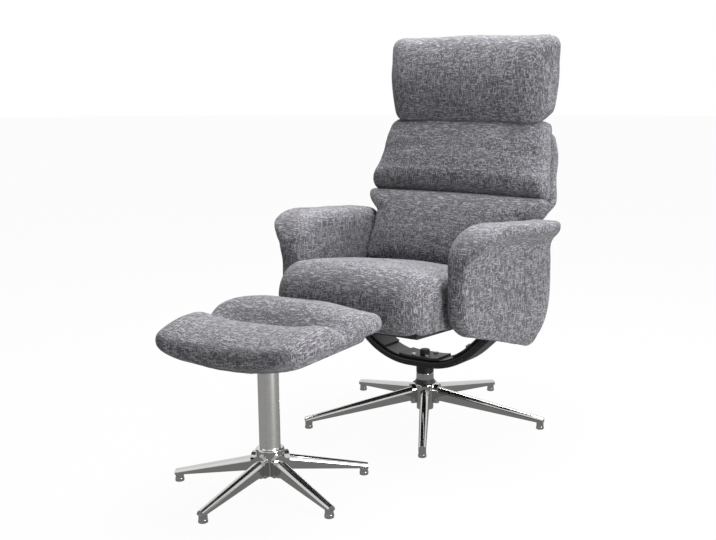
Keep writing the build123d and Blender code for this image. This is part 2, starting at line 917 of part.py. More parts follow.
with BuildPart() as arm_pad_left:
    mirror(arm_pad_right.part, about=Plane.YZ)
save(arm_pad_left, "arm_pad_left")

with BuildPart() as arm_spacers:
    for spot in arm_bolt_spots:
        extrude(disc(at_x(web_out + joint_gap), spacer_radius, spot), amount=arm_mid - web_out)
    split(bisect_by=core_plane.offset(-core_thick / 2 - joint_gap), keep=Keep.BOTTOM)
    for spot in arm_bolt_spots:
        extrude(disc(at_x(web_out), arm_bolt_radius + 2 * fit, spot), amount=80, mode=Mode.SUBTRACT)
    mirror(arm_spacers.part, about=Plane.YZ)
save(arm_spacers, "arm_spacers")

with BuildPart() as arm_bolts:
    for spot in arm_bolt_spots:
        core_face = arm_mid + arm_toe * spot[0] - core_thick / 2
        head_out = web_in + arm_bolt_head_thick - joint_gap
        both_sides(web_in + joint_gap, head_out, spot, arm_bolt_head)
        both_sides(head_out - 1, core_face + arm_bolt_bite, spot, arm_bolt_radius)
save(arm_bolts, "arm_bolts")

zip_from_rear = arm_rear - zip_y + zip_width / 2
zip_top = arm_low_rear + fall(zip_from_rear, arm_rear - arm_low_turn, arm_heel_high) + zip_seat
zip_x = arm_mid + arm_toe * zip_y
with BuildPart() as arm_zip_pulls:
    for x in (-zip_x, zip_x):
        with BuildSketch(at_x(x - zip_thick / 2)):
            with Locations((zip_y, zip_top - zip_length / 2)):
                RectangleRounded(zip_width, zip_length, 2.5)
            with Locations((zip_y, zip_top - zip_length + 5)):
                SlotOverall(6, 3, rotation=90, mode=Mode.SUBTRACT)
        extrude(amount=zip_thick)
save(arm_zip_pulls, "arm_zip_pulls")

# Back
lean_sin = sin(radians(back_lean))
lean_cos = cos(radians(back_lean))


def on_back(u, t):
    """(Y, Z) of a point u up the back's slope and t in front of its rear plane."""
    return (seam_y + u * lean_sin - t * lean_cos, seam_z + u * lean_cos + t * lean_sin)


def back_station(u):
    """Plane square to the back's slope, local y forward."""
    y, z = on_back(u, 0)
    return Plane(origin=(0, y, z), x_dir=(-1, 0, 0), z_dir=(0, lean_sin, lean_cos))


def back_face(t):
    """Plane parallel to the back, local x across and y up the slope."""
    y, z = on_back(0, t)
    return Plane(origin=(0, y, z), x_dir=(1, 0, 0), z_dir=(0, -lean_cos, lean_sin))


def pad_section(u, past, side_deep, crown_deep):
    """Section of a back pad: flat behind, drawn-in sides, crowned front."""
    half = seat_half + past
    with BuildSketch(back_station(u)) as section:
        with BuildLine():
            Line((-half + 8, soft_gap / 2), (half - 8, soft_gap / 2))
            ThreePointArc((half - 8, soft_gap / 2), (half, 0.5 * side_deep), (half - 9, side_deep))
            ThreePointArc((half - 9, side_deep), (0, crown_deep), (-half + 9, side_deep))
            ThreePointArc((-half + 9, side_deep), (-half, 0.5 * side_deep), (-half + 8, soft_gap / 2))
        make_face()
    return section.sketch


def shell_section(u, past, deep):
    """Section of the rear shell: flat in front, rounded to the rear."""
    half = seat_half + past
    front = -soft_gap / 2
    with BuildSketch(back_station(u)) as section:
        with BuildLine():
            Line((-half + 4, front), (half - 4, front))
            ThreePointArc((half - 4, front), (half - 1, -0.45 * deep), (half - 24, -0.86 * deep))
            ThreePointArc((half - 24, -0.86 * deep), (0, -deep), (-half + 24, -0.86 * deep))
            ThreePointArc((-half + 24, -0.86 * deep), (-half + 1, -0.45 * deep), (-half + 4, front))
        make_face()
    return section.sketch


# Place up the slope, half-width past the seat's, depth at the sides and depth at the middle
half_seam = seam_gap / 2
lower_stations = (
    (-238, -34, 28, 42),
    (-232, -26, 44, 58),
    (-212, -21, 60, 78),
    (-175, -19, 68, 88),
    (-146, -16, 70, 91),
    (-108, 5, 70, 90),
    (-72, 23, 70, 88),
    (-40, 42, 68, 84),
    (-14, 57, 60, 74),
    (-half_seam, 56, 46, 56),
)
upper_stations = (
    (half_seam, 56, 46, 56),
    (14, 59, 60, 74),
    (60, 52, 70, 88),
    (130, 39, 72, 90),
    (185, 29, 74, 92),
    (207, 24, 66, 86),
    (219, 20, 46, 62),
    (228, 15, 24, 36),
)
shell_stations = (
    (-230, -32, 26),
    (-220, -25, 42),
    (-175, -21, 49),
    (-146, -18, shell_deep),
    (-108, 1, shell_deep),
    (-60, 26, shell_deep),
    (-15, 54, shell_deep),
    (20, 56, shell_deep),
    (120, 39, shell_deep),
    (188, 26, 46),
    (206, 21, 30),
)
head_axis = (head_axis_y, head_axis_z)
hinge_out = hinge_at + 2 * hinge_thick + joint_gap
hinge_mid = hinge_at + hinge_thick


def hinge_slots(plane, width_of, height, at, amount):
    """Cut the two slots in which the headrest hinges stand."""
    for x in (-hinge_mid, hinge_mid):
        with BuildSketch(plane) as cut:
            with Locations((x, at)):
                Rectangle(width_of, height)
        extrude(cut.sketch, amount=amount, mode=Mode.SUBTRACT)


with BuildPart() as back_pad_lower:
    loft([pad_section(*station) for station in lower_stations])
save(back_pad_lower, "back_pad_lower")

with BuildPart() as back_pad_upper:
    loft([pad_section(*station) for station in upper_stations])
    hinge_slots(back_face(-1), hinge_slot, 90, tube_high + 32, 75)
save(back_pad_upper, "back_pad_upper")

with BuildPart() as back_shell:
    loft([shell_section(*station) for station in shell_stations])
    with BuildSketch(back_face(1)):
        with Locations((0, (tube_low + tube_high) / 2)):
            RectangleRounded(
                2 * (tube_half + pocket_margin),
                tube_high - tube_low + 2 * pocket_margin,
                tube_bend + pocket_margin,
            )
    extrude(amount=-(pocket_deep + 1), mode=Mode.SUBTRACT)
    hinge_slots(back_face(1), hinge_slot, 90, tube_high + 30, -(pocket_deep + 1))
    for u in (bracket_top_u, stub_low_u):
        hole = disc(at_x(-bracket_in - 20), stub_radius + 0.8, on_back(u, -tube_back))
        extrude(hole, amount=2 * (bracket_in + 20), mode=Mode.SUBTRACT)
save(back_shell, "back_shell")

with BuildPart() as back_frame:
    with BuildLine(back_face(-tube_back)) as loop:
        FilletPolyline(
            (0, tube_low),
            (tube_half, tube_low),
            (tube_half, tube_high),
            (-tube_half, tube_high),
            (-tube_half, tube_low),
            (-tube_half / 2, tube_low),
            radius=tube_bend,
        )
        Line((-tube_half / 2, tube_low), (0, tube_low))
    with BuildSketch(Plane(origin=loop.line @ 0, z_dir=loop.line % 0)):
        Circle(tube_radius)
    sweep(path=loop.line)
    for u in (bracket_top_u, stub_low_u):
        both_sides(tube_half, bracket_in + 1, on_back(u, -tube_back), stub_radius)
    for x in (-bracket_out, bracket_in):
        with BuildSketch(at_x(x)):
            with Locations(pivot):
                Circle(bracket_round)
            with Locations(on_back(bracket_top_u, -tube_back)):
                Circle(bracket_top_round)
            make_hull()
        extrude(amount=bracket_thick)
        with BuildSketch(at_x(x)):
            with Locations(pivot):
                Circle(bracket_round)
            with Locations(seat_hinge):
                Circle(bracket_low_round)
            make_hull()
        extrude(amount=bracket_thick)
    both_sides(bracket_in - 1, bracket_out + 1, pivot, bush_radius + fit, Mode.SUBTRACT)
    both_sides(bracket_in - 1, bracket_out + 1, seat_hinge, pin_radius + fit, Mode.SUBTRACT)
    for x in (-hinge_at - hinge_thick, hinge_at):
        with BuildSketch(at_x(x)):
            with Locations(head_axis):
                Circle(hinge_round)
            with Locations(on_back(tube_high, -tube_back)):
                Circle(hinge_foot_round)
            make_hull()
        extrude(amount=hinge_thick)
    both_sides(hinge_at - 1, hinge_mid + 1, head_axis, hinge_pin_radius + fit, Mode.SUBTRACT)
save(back_frame, "back_frame")

strap_span = tube_high - tube_low - 90
with BuildPart() as back_straps:
    for i in range(back_strap_count):
        u = tube_low + 45 + strap_span * i / (back_strap_count - 1)
        with BuildSketch(back_face(tube_radius - tube_back + soft_gap / 2)):
            with Locations((0, u)):
                Rectangle(2 * (tube_half + 6), back_strap_width)
        extrude(amount=strap_thick)
save(back_straps, "back_straps")

# Headrest
def head_section(x):
    """Pillow section of the headrest, drawn in towards its sides."""
    edge = head_half - abs(x)
    bow_back = (x / head_half) ** 2
    low = head_low + fall(edge, 45, head_low_round)
    high = head_high - head_crown * bow_back - fall(edge, 40, head_top_round)
    front = head_front + head_bow * bow_back + fall(edge, 45, head_side_round)
    rear = head_rear - fall(edge, 40, head_side_round)
    mid_y = (front + rear) / 2
    mid_z = (low + high) / 2
    deep = rear - front
    tall = high - low
    front_low = (front + 0.11 * deep, low + 0.025 * tall)
    front_high = (front + 0.21 * deep, high - 0.1 * tall)
    rear_high = (rear - 0.14 * deep, high - 0.06 * tall)
    rear_low = (rear - 0.11 * deep, low + 0.05 * tall)
    with BuildSketch(at_x(x)) as section:
        with BuildLine():
            ThreePointArc(front_low, (mid_y, low), rear_low)
            ThreePointArc(rear_low, (rear, mid_z), rear_high)
            ThreePointArc(rear_high, (mid_y, high), front_high)
            ThreePointArc(front_high, (front, mid_z), front_low)
        make_face()
    return section.sketch


with BuildPart() as headrest_pad:
    loft([head_section(x) for x in pad_stations(head_half)])
    with BuildSketch(at_z(head_low - 5)):
        with Locations((0, head_core_y + head_core_thick / 2)):
            Rectangle(2 * (head_core_half + soft_gap), head_core_thick + 2 * soft_gap)
    extrude(amount=head_core_high + soft_gap - head_low + 5, mode=Mode.SUBTRACT)
    hinge_slots(at_z(head_low - 5), hinge_slot, 52, head_axis_y - 1, lever_top + 1 - head_low + 5)
save(headrest_pad, "headrest_pad")

with BuildPart() as headrest_core:
    with BuildSketch(at_y(head_core_y + head_core_thick)):
        with Locations((0, (head_core_low + head_core_high) / 2)):
            RectangleRounded(2 * head_core_half, head_core_high - head_core_low, 12)
    extrude(amount=head_core_thick)
save(headrest_core, "headrest_core")

with BuildPart() as headrest_levers:
    for x in (-hinge_out, hinge_mid + joint_gap):
        with BuildSketch(at_x(x)):
            with Locations(head_axis):
                Circle(hinge_round)
            with Locations((head_core_y - joint_gap - 12, lever_top - 12)):
                Circle(12)
            with Locations((head_core_y - joint_gap - 12, head_core_low + 14)):
                Circle(12)
            make_hull()
        extrude(amount=hinge_thick)
    both_sides(hinge_mid, hinge_out + 1, head_axis, hinge_pin_radius + fit, Mode.SUBTRACT)
save(headrest_levers, "headrest_levers")

with BuildPart() as headrest_pins:
    both_sides(hinge_at - 2.4, hinge_at - 0.2, head_axis, hinge_pin_radius + 2)
    both_sides(hinge_at - 1, hinge_out + 2, head_axis, hinge_pin_radius)
save(headrest_pins, "headrest_pins")

# Footstool
write_legs(stool_star, "stool")
write_hub(stool_star, "stool", column_spigot, stool_hub_top - column_bite, False)
write_glides(stool_star, "stool")
write_leg_screws(stool_star, "stool")

stool_frame = Plane(
    origin=(0, stool_y, 0),
    x_dir=(cos(radians(stool_turn)), sin(radians(stool_turn)), 0),
    z_dir=(0, 0, 1),
)
stool_centre = (0, stool_y)
plate_low = column_top + joint_gap
plate_level = plate_low + stool_plate_boss
board_low = plate_level + stool_plate_thick + joint_gap
board_top = board_low + board_thick
stool_bottom = board_top + soft_gap + bend_gap
stool_bend = (stool_half**2 + stool_lift**2) / (2 * stool_lift)
bend_centre = stool_bottom + stool_bend
screw_spots = (
    (-stool_screw_at, -stool_screw_at),
    (stool_screw_at, -stool_screw_at),
    (-stool_screw_at, stool_screw_at),
    (stool_screw_at, stool_screw_at),
)
# Upright plane along the stool's length, local axes its length and Z
stool_side = Plane(
    origin=(0, stool_y, 0),
    x_dir=stool_frame.x_dir,
    z_dir=(sin(radians(stool_turn)), -cos(radians(stool_turn)), 0),
)


def stool_rise(x):
    """How far the bent board and the pads' undersides have risen at x along the stool."""
    return stool_bend - sqrt(stool_bend**2 - x**2)


def bent_strip(level, thick, half):
    """Side section of a sheet bent about the stool's bend centre, its underside at a level."""
    radius = bend_centre - level - thick / 2
    reach = degrees(asin(half / radius))
    with BuildSketch(stool_side) as strip:
        with BuildLine():
            CenterArc((0, bend_centre), radius, -90 - reach, 2 * reach)
        trace(line_width=thick)
    return strip.sketch


with BuildPart() as stool_column:
    extrude(disc(at_z(stool_hub_top + joint_gap), column_radius, stool_centre),
            amount=column_top - stool_hub_top - joint_gap)
    spigot = disc(at_z(stool_hub_top - column_bite + joint_gap), column_spigot, stool_centre)
    extrude(spigot, amount=column_bite + 5)
save(stool_column, "stool_column")

with BuildPart() as stool_plate:
    extrude(disc(at_z(plate_low), stool_boss_radius, stool_centre), amount=stool_plate_boss + 1)
    plate_side = bent_strip(plate_level, stool_plate_thick, stool_plate_half)
    extrude(plate_side, amount=stool_plate_half, both=True)
    with BuildSketch(stool_frame.offset(plate_low)):
        with Locations(*screw_spots):
            Circle(stool_screw_radius + 3 * fit)
    extrude(amount=4 * stool_plate_thick, mode=Mode.SUBTRACT)
save(stool_plate, "stool_plate")

screw_seat = plate_level + stool_rise(stool_screw_at - stool_screw_head) - joint_gap
screw_end = board_low + stool_rise(stool_screw_at) + stool_screw_bite

with BuildPart() as stool_board:
    extrude(bent_strip(board_low, board_thick, board_half), amount=board_half_depth, both=True)
    corners = stool_board.edges().filter_by(lambda edge: abs(edge.length - board_thick) < 0.01)
    fillet(corners, board_corner)
    with BuildSketch(stool_frame.offset(plate_low)):
        with Locations(*screw_spots):
            Circle(stool_screw_radius + fit)
    extrude(amount=screw_end + 0.5 - plate_low, mode=Mode.SUBTRACT)
save(stool_board, "stool_board")

with BuildPart() as stool_screws:
    with BuildSketch(stool_frame.offset(screw_seat)):
        with Locations(*screw_spots):
            Circle(stool_screw_head)
    extrude(amount=-3)
    with BuildSketch(stool_frame.offset(screw_seat - 1)):
        with Locations(*screw_spots):
            Circle(stool_screw_radius)
    extrude(amount=screw_end - screw_seat + 1)
save(stool_screws, "stool_screws")


def stool_section(x, hand):
    """Section of one stool pad from the seam out to its rolled edge."""
    edge = stool_half - abs(x)
    out = stool_half_depth - fall(edge, stool_corner, stool_corner)
    rise = stool_saddle * (x / 190) ** 2 - fall(edge, stool_top_round, stool_top_round)
    low = stool_bottom + stool_rise(x)
    seam_top = (hand * half_seam, stool_bottom + stool_seam + rise)
    crown = (hand * 0.46 * out, stool_bottom + stool_crown + rise)
    deep = stool_bottom + stool_edge + rise - low
    shoulder = (hand * (out - 0.5 * deep), low + deep)
    belly = (hand * out, low + 0.52 * deep)
    heel = (hand * (out - 0.28 * deep), low)
    base = (hand * half_seam, low)
    origin = stool_frame.from_local_coords((x, 0, 0))
    heading = radians(stool_turn)
    plane = Plane(
        origin=origin,
        x_dir=(-sin(heading), cos(heading), 0),
        z_dir=(cos(heading), sin(heading), 0),
    )
    with BuildSketch(plane) as section:
        with BuildLine():
            Line(base, seam_top)
            ThreePointArc(seam_top, crown, shoulder)
            ThreePointArc(shoulder, belly, heel)
            Line(heel, base)
        make_face()
    return section.sketch


with BuildPart() as stool_pad_front:
    loft([stool_section(x, -1) for x in pad_stations(stool_half)])
save(stool_pad_front, "stool_pad_front")

with BuildPart() as stool_pad_rear:
    loft([stool_section(x, 1) for x in pad_stations(stool_half)])
save(stool_pad_rear, "stool_pad_rear")
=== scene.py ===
import json
import logging
import math
from dataclasses import dataclass, field
from enum import Enum
from typing import Callable

import bpy
import numpy as np
from mathutils import Euler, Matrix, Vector


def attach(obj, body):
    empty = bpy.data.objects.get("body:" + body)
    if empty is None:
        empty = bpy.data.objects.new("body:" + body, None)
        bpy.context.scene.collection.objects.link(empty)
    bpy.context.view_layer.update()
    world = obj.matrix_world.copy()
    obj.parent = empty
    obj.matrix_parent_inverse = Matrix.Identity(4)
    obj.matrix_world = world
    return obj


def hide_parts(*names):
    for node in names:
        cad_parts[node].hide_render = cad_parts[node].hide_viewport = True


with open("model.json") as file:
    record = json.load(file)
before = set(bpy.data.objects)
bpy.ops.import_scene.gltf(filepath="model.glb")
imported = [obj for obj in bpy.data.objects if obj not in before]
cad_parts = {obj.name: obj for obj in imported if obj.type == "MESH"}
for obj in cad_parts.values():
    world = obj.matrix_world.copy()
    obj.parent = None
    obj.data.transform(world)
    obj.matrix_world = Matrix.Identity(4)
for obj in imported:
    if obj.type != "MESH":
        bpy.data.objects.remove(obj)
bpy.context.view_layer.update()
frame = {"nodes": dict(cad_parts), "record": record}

log = logging.getLogger("recliner")

Triple = tuple[float, float, float]
Span = tuple[float, float]

SIM_FRAMES = 20
SLIDE_CAP = 0.0025
SWELL_SCALE = 0.02
REST_FROM = 0.35
REST_RAMP = 0.4

BACK_LEAN = math.radians(23)
BACK_SEAM = (0.0, 0.1986, 0.6195)
STOOL_CENTRE = (0.0, -0.665, 0.0)
STOOL_HEADING = math.radians(7)
STOOL_ALONG = (math.cos(STOOL_HEADING), math.sin(STOOL_HEADING), 0.0)
STOOL_OVER = (-math.sin(STOOL_HEADING), math.cos(STOOL_HEADING), 0.0)


class Axis(Enum):
    """Directions in the part's frame, as unit vectors."""

    LEFT = (-1.0, 0.0, 0.0)
    RIGHT = (1.0, 0.0, 0.0)
    FRONT = (0.0, -1.0, 0.0)
    REAR = (0.0, 1.0, 0.0)
    DOWN = (0.0, 0.0, -1.0)


class Graph:
    """A material's node tree, built from short calls."""

    def __init__(self, name: str) -> None:
        """Start an empty material with its output and principled shader.

        Args:
            name: Name of the material.
        """
        self.material = bpy.data.materials.new(name)
        self.material.use_nodes = True
        self.tree = self.material.node_tree
        self.tree.nodes.clear()
        self.output = self.tree.nodes.new("ShaderNodeOutputMaterial")
        self.shader = self.tree.nodes.new("ShaderNodeBsdfPrincipled")
        self.link(self.shader, "BSDF", self.output, "Surface")

    def node(self, kind: str, **settings: object) -> bpy.types.Node:
        """Add a node.

        Args:
            kind: Node type without the ShaderNode prefix.
            **settings: Properties, or input values where the name starts with in_.

        Returns:
            The new node.
        """
        made = self.tree.nodes.new("ShaderNode" + kind)
        for key, value in settings.items():
            if key.startswith("in_"):
                made.inputs[key[3:].replace("_", " ")].default_value = value
            else:
                setattr(made, key, value)
        return made

    def link(self, source: bpy.types.Node, out: str | int, target: bpy.types.Node, into: str | int) -> None:
        """Join an output of one node to an input of another.

        Args:
            source: Node that gives the value.
            out: Its output's name or number.
            target: Node that takes it.
            into: Input's name or number.
        """
        self.tree.links.new(source.outputs[out], target.inputs[into])

    def set(self, **values: object) -> None:
        """Set constant sockets of the principled shader.

        Args:
            **values: Socket names with underscores for spaces.
        """
        for key, value in values.items():
            self.shader.inputs[key.replace("_", " ")].default_value = value

    def streaks(self, scale: Triple, detail: float) -> bpy.types.Node:
        """Noise stretched by a scale in object space.

        Args:
            scale: Features per metre along X, Y and Z.
            detail: Noise detail.

        Returns:
            The noise node.
        """
        coords = self.node("TexCoord")
        mapping = self.node("Mapping")
        mapping.inputs["Scale"].default_value = scale
        self.link(coords, "Object", mapping, "Vector")
        noise = self.node("TexNoise", in_Scale=1.0, in_Detail=detail, in_Roughness=0.6)
        self.link(mapping, "Vector", noise, "Vector")
        return noise

    def yarns(self, axis: int, along: float, across: float) -> bpy.types.Node:
        """Short lengths of yarn that run along one axis, each with a shade of its own.

        Args:
            axis: Number of the axis that the yarns run along.
            along: Lengths per metre.
            across: Yarns per metre.

        Returns:
            A node whose value is the shade, from 0 to 1.
        """
        coords = self.node("TexCoord")
        stretch = self.node("VectorMath", operation="MULTIPLY")
        scale = [across, across, across]
        scale[axis] = 0.0
        stretch.inputs[1].default_value = scale
        self.link(coords, "Object", stretch, 0)
        cell = self.node("VectorMath", operation="FLOOR")
        self.link(stretch, "Vector", cell, 0)
        start = self.node("TexWhiteNoise", noise_dimensions="3D")
        self.link(cell, "Vector", start, "Vector")
        parts = self.node("SeparateXYZ")
        self.link(coords, "Object", parts, "Vector")
        place = self.node("Math", operation="MULTIPLY_ADD")
        place.inputs[1].default_value = along
        self.link(parts, axis, place, 0)
        self.link(start, "Value", place, 2)
        piece = self.node("Math", operation="FLOOR")
        self.link(place, "Value", piece, 0)
        spot = self.node("CombineXYZ")
        self.link(piece, "Value", spot, axis)
        both = self.node("VectorMath", operation="ADD")
        self.link(cell, "Vector", both, 0)
        self.link(spot, "Vector", both, 1)
        shade = self.node("TexWhiteNoise", noise_dimensions="3D")
        self.link(both, "Vector", shade, "Vector")
        return shade

    def blend(self, first: bpy.types.Node, second: bpy.types.Node, operation: str) -> bpy.types.Node:
        """Combine two scalar nodes.

        Args:
            first: First node.
            second: Second node.
            operation: Math operation.

        Returns:
            The math node.
        """
        made = self.node("Math", operation=operation)
        self.link(first, 0, made, 0)
        self.link(second, 0, made, 1)
        return made

    def ramp(self, source: bpy.types.Node, stops: tuple) -> bpy.types.Node:
        """Colour ramp over a scalar node.

        Args:
            source: Node that gives the scalar.
            stops: Pairs of position and colour.

        Returns:
            The ramp node.
        """
        made = self.node("ValToRGB")
        elements = made.color_ramp.elements
        while len(elements) < len(stops):
            elements.new(0.5)
        for element, (position, colour) in zip(elements, stops):
            element.position = position
            element.color = (*colour, 1.0)
        self.link(source, 0, made, "Fac")
        return made

    def roughen(self, noise: bpy.types.Node, low: float, high: float) -> None:
        """Vary the shader's roughness with a noise.

        Args:
            noise: The noise node.
            low: Least roughness.
            high: Greatest roughness.
        """
        spread = self.node("MapRange", in_To_Min=low, in_To_Max=high)
        self.link(noise, "Fac", spread, "Value")
        self.link(spread, "Result", self.shader, "Roughness")

    def bump(self, source: bpy.types.Node, strength: float, distance: float) -> None:
        """Raise the surface by a scalar node.

        Args:
            source: Node that gives the height.
            strength: Strength of the bump.
            distance: Height in metres.
        """
        made = self.node("Bump", in_Strength=strength, in_Distance=distance)
        self.link(source, 0, made, "Height")
        self.link(made, "Normal", self.shader, "Normal")


@dataclass(frozen=True)
class Fabric:
    """Melange weave: short yarns across each other, each with a shade of its own.

    Attributes:
        name: Name of the material.
        dark: Colour of the darkest yarns.
        mid: Colour of the common yarns.
        light: Colour of the lightest yarns.
        stops: Shades at which the three colours stand.
        along: Lengths of yarn per metre.
        across: Yarns per metre.
        hiding: How far a yarn that is seen end-on is darkened.
        steepness: How quickly a yarn is hidden as it turns end-on.
        ribs: Ribs of the relief per metre.
        relief: Height of the relief in metres.
    """

    name: str = "melange_weave"
    dark: Triple = (0.042, 0.041, 0.046)
    mid: Triple = (0.112, 0.109, 0.121)
    light: Triple = (0.34, 0.335, 0.36)
    stops: Triple = (0.25, 0.72, 1.0)
    along: float = 90.0
    across: float = 600.0
    hiding: float = 0.8
    steepness: float = 4.0
    ribs: float = 210.0
    relief: float = 0.0007

    def build(self) -> bpy.types.Material:
        """Make the material.

        Returns:
            The finished material.
        """
        graph = Graph(self.name)
        graph.set(Roughness=0.88, Sheen_Weight=0.12, Sheen_Roughness=0.5)
        shade = self.shades(graph)
        colour = graph.ramp(shade, tuple(zip(self.stops, (self.dark, self.mid, self.light))))
        graph.link(colour, "Color", graph.shader, "Base Color")
        height = graph.blend(self.weave(graph), shade, "ADD")
        graph.bump(height, 0.35, self.relief)
        return graph.material

    def shades(self, graph: Graph) -> bpy.types.Node:
        """Lay yarns along the three axes and keep the lightest at each point.

        Args:
            graph: Material to add to.

        Returns:
            A node whose value is the shade.
        """
        facing = graph.node("TexCoord")
        parts = graph.node("SeparateXYZ")
        graph.link(facing, "Normal", parts, "Vector")
        lightest = None
        for axis in range(3):
            end_on = graph.node("Math", operation="ABSOLUTE")
            graph.link(parts, axis, end_on, 0)
            steep = graph.node("Math", operation="POWER")
            steep.inputs[1].default_value = self.steepness
            graph.link(end_on, 0, steep, 0)
            shade = graph.node("Math", operation="MULTIPLY_ADD")
            shade.inputs[1].default_value = -self.hiding
            graph.link(steep, 0, shade, 0)
            graph.link(graph.yarns(axis, self.along, self.across), "Value", shade, 2)
            lightest = shade if lightest is None else graph.blend(lightest, shade, "MAXIMUM")
        return lightest

    def weave(self, graph: Graph) -> bpy.types.Node:
        """Lay ribs along the three axes.

        Args:
            graph: Material to add to.

        Returns:
            A node whose value is the height of the ribs.
        """
        coords = graph.node("TexCoord")
        height = None
        for direction in ("X", "Y", "Z"):
            wave = graph.node("TexWave", bands_direction=direction, in_Scale=self.ribs, in_Distortion=1.2)
            wave.inputs["Detail"].default_value = 1.0
            graph.link(coords, "Object", wave, "Vector")
            grey = graph.node("RGBToBW")
            graph.link(wave, "Color", grey, "Color")
            height = grey if height is None else graph.blend(height, grey, "ADD")
        return height


@dataclass(frozen=True)
class Metal:
    """Plated or polished metal with slight smears."""

    name: str
    colour: Triple
    low_rough: float
    high_rough: float
    grain: Triple = (9.0, 9.0, 9.0)
    relief: float = 0.0

    def build(self) -> bpy.types.Material:
        """Make the material.

        Returns:
            The finished material.
        """
        graph = Graph(self.name)
        graph.set(Metallic=1.0)
        noise = graph.streaks(self.grain, 4.0)
        worn = tuple(0.93 * c for c in self.colour)
        colour = graph.ramp(noise, ((0.3, worn), (0.7, self.colour)))
        graph.link(colour, "Color", graph.shader, "Base Color")
        graph.roughen(noise, self.low_rough, self.high_rough)
        if self.relief:
            graph.bump(noise, 0.2, self.relief)
        return graph.material


@dataclass(frozen=True)
class Coating:
    """Paint, lacquer or moulded plastic: a body colour with a fine relief."""

    name: str
    colour: Triple
    low_rough: float
    high_rough: float
    grain: float
    relief: float

    def build(self) -> bpy.types.Material:
        """Make the material.

        Returns:
            The finished material.
        """
        graph = Graph(self.name)
        noise = graph.streaks((self.grain, self.grain, self.grain), 3.0)
        deep = tuple(0.75 * c for c in self.colour)
        colour = graph.ramp(noise, ((0.35, deep), (0.65, self.colour)))
        graph.link(colour, "Color", graph.shader, "Base Color")
        graph.roughen(noise, self.low_rough, self.high_rough)
        graph.bump(noise, 0.15, self.relief)
        return graph.material


@dataclass(frozen=True)
class Plywood:
    """Raw board with long grain."""

    name: str = "raw_plywood"
    grain: Triple = (9.0, 120.0, 700.0)
    dark: Triple = (0.42, 0.28, 0.16)
    mid: Triple = (0.58, 0.43, 0.28)
    light: Triple = (0.68, 0.54, 0.38)

    def build(self) -> bpy.types.Material:
        """Make the material.

        Returns:
            The finished material.
        """
        graph = Graph(self.name)
        graph.set(Roughness=0.7)
        grain = graph.streaks(self.grain, 5.0)
        colour = graph.ramp(grain, ((0.3, self.dark), (0.5, self.mid), (0.7, self.light)))
        graph.link(colour, "Color", graph.shader, "Base Color")
        graph.bump(grain, 0.2, 0.0004)
        return graph.material


@dataclass(frozen=True)
class Webbing:
    """Elastic webbing with cross ribs."""

    name: str = "elastic_webbing"
    ribs: Triple = (700.0, 90.0, 90.0)
    dark: Triple = (0.03, 0.03, 0.032)
    light: Triple = (0.09, 0.09, 0.092)

    def build(self) -> bpy.types.Material:
        """Make the material.

        Returns:
            The finished material.
        """
        graph = Graph(self.name)
        graph.set(Roughness=0.9)
        ribs = graph.streaks(self.ribs, 2.0)
        colour = graph.ramp(ribs, ((0.35, self.dark), (0.65, self.light)))
        graph.link(colour, "Color", graph.shader, "Base Color")
        graph.bump(ribs, 0.3, 0.0005)
        return graph.material


FINISHES = {
    "chrome": Metal("polished_chrome", (0.6, 0.6, 0.59), 0.03, 0.08),
    "satin_chrome": Metal("satin_chrome", (0.95, 0.94, 0.91), 0.2, 0.28, (40.0, 40.0, 400.0)),
    "bow_black": Coating("gloss_lacquer", (0.008, 0.008, 0.009), 0.3, 0.38, 14.0, 0.0003),
    "steel_black": Coating("powder_coat", (0.028, 0.028, 0.03), 0.38, 0.5, 1600.0, 0.0002),
    "steel_zinc": Metal("zinc_plate", (0.58, 0.59, 0.6), 0.24, 0.42, (300.0, 300.0, 300.0), 0.0001),
    "nylon_black": Coating("moulded_nylon", (0.03, 0.03, 0.033), 0.45, 0.6, 900.0, 0.0002),
    "upholstery": Fabric(),
    "webbing": Webbing(),
    "plywood": Plywood(),
}
THREAD = Coating("sewing_thread", (0.2, 0.2, 0.21), 0.6, 0.75, 1500.0, 0.0002)


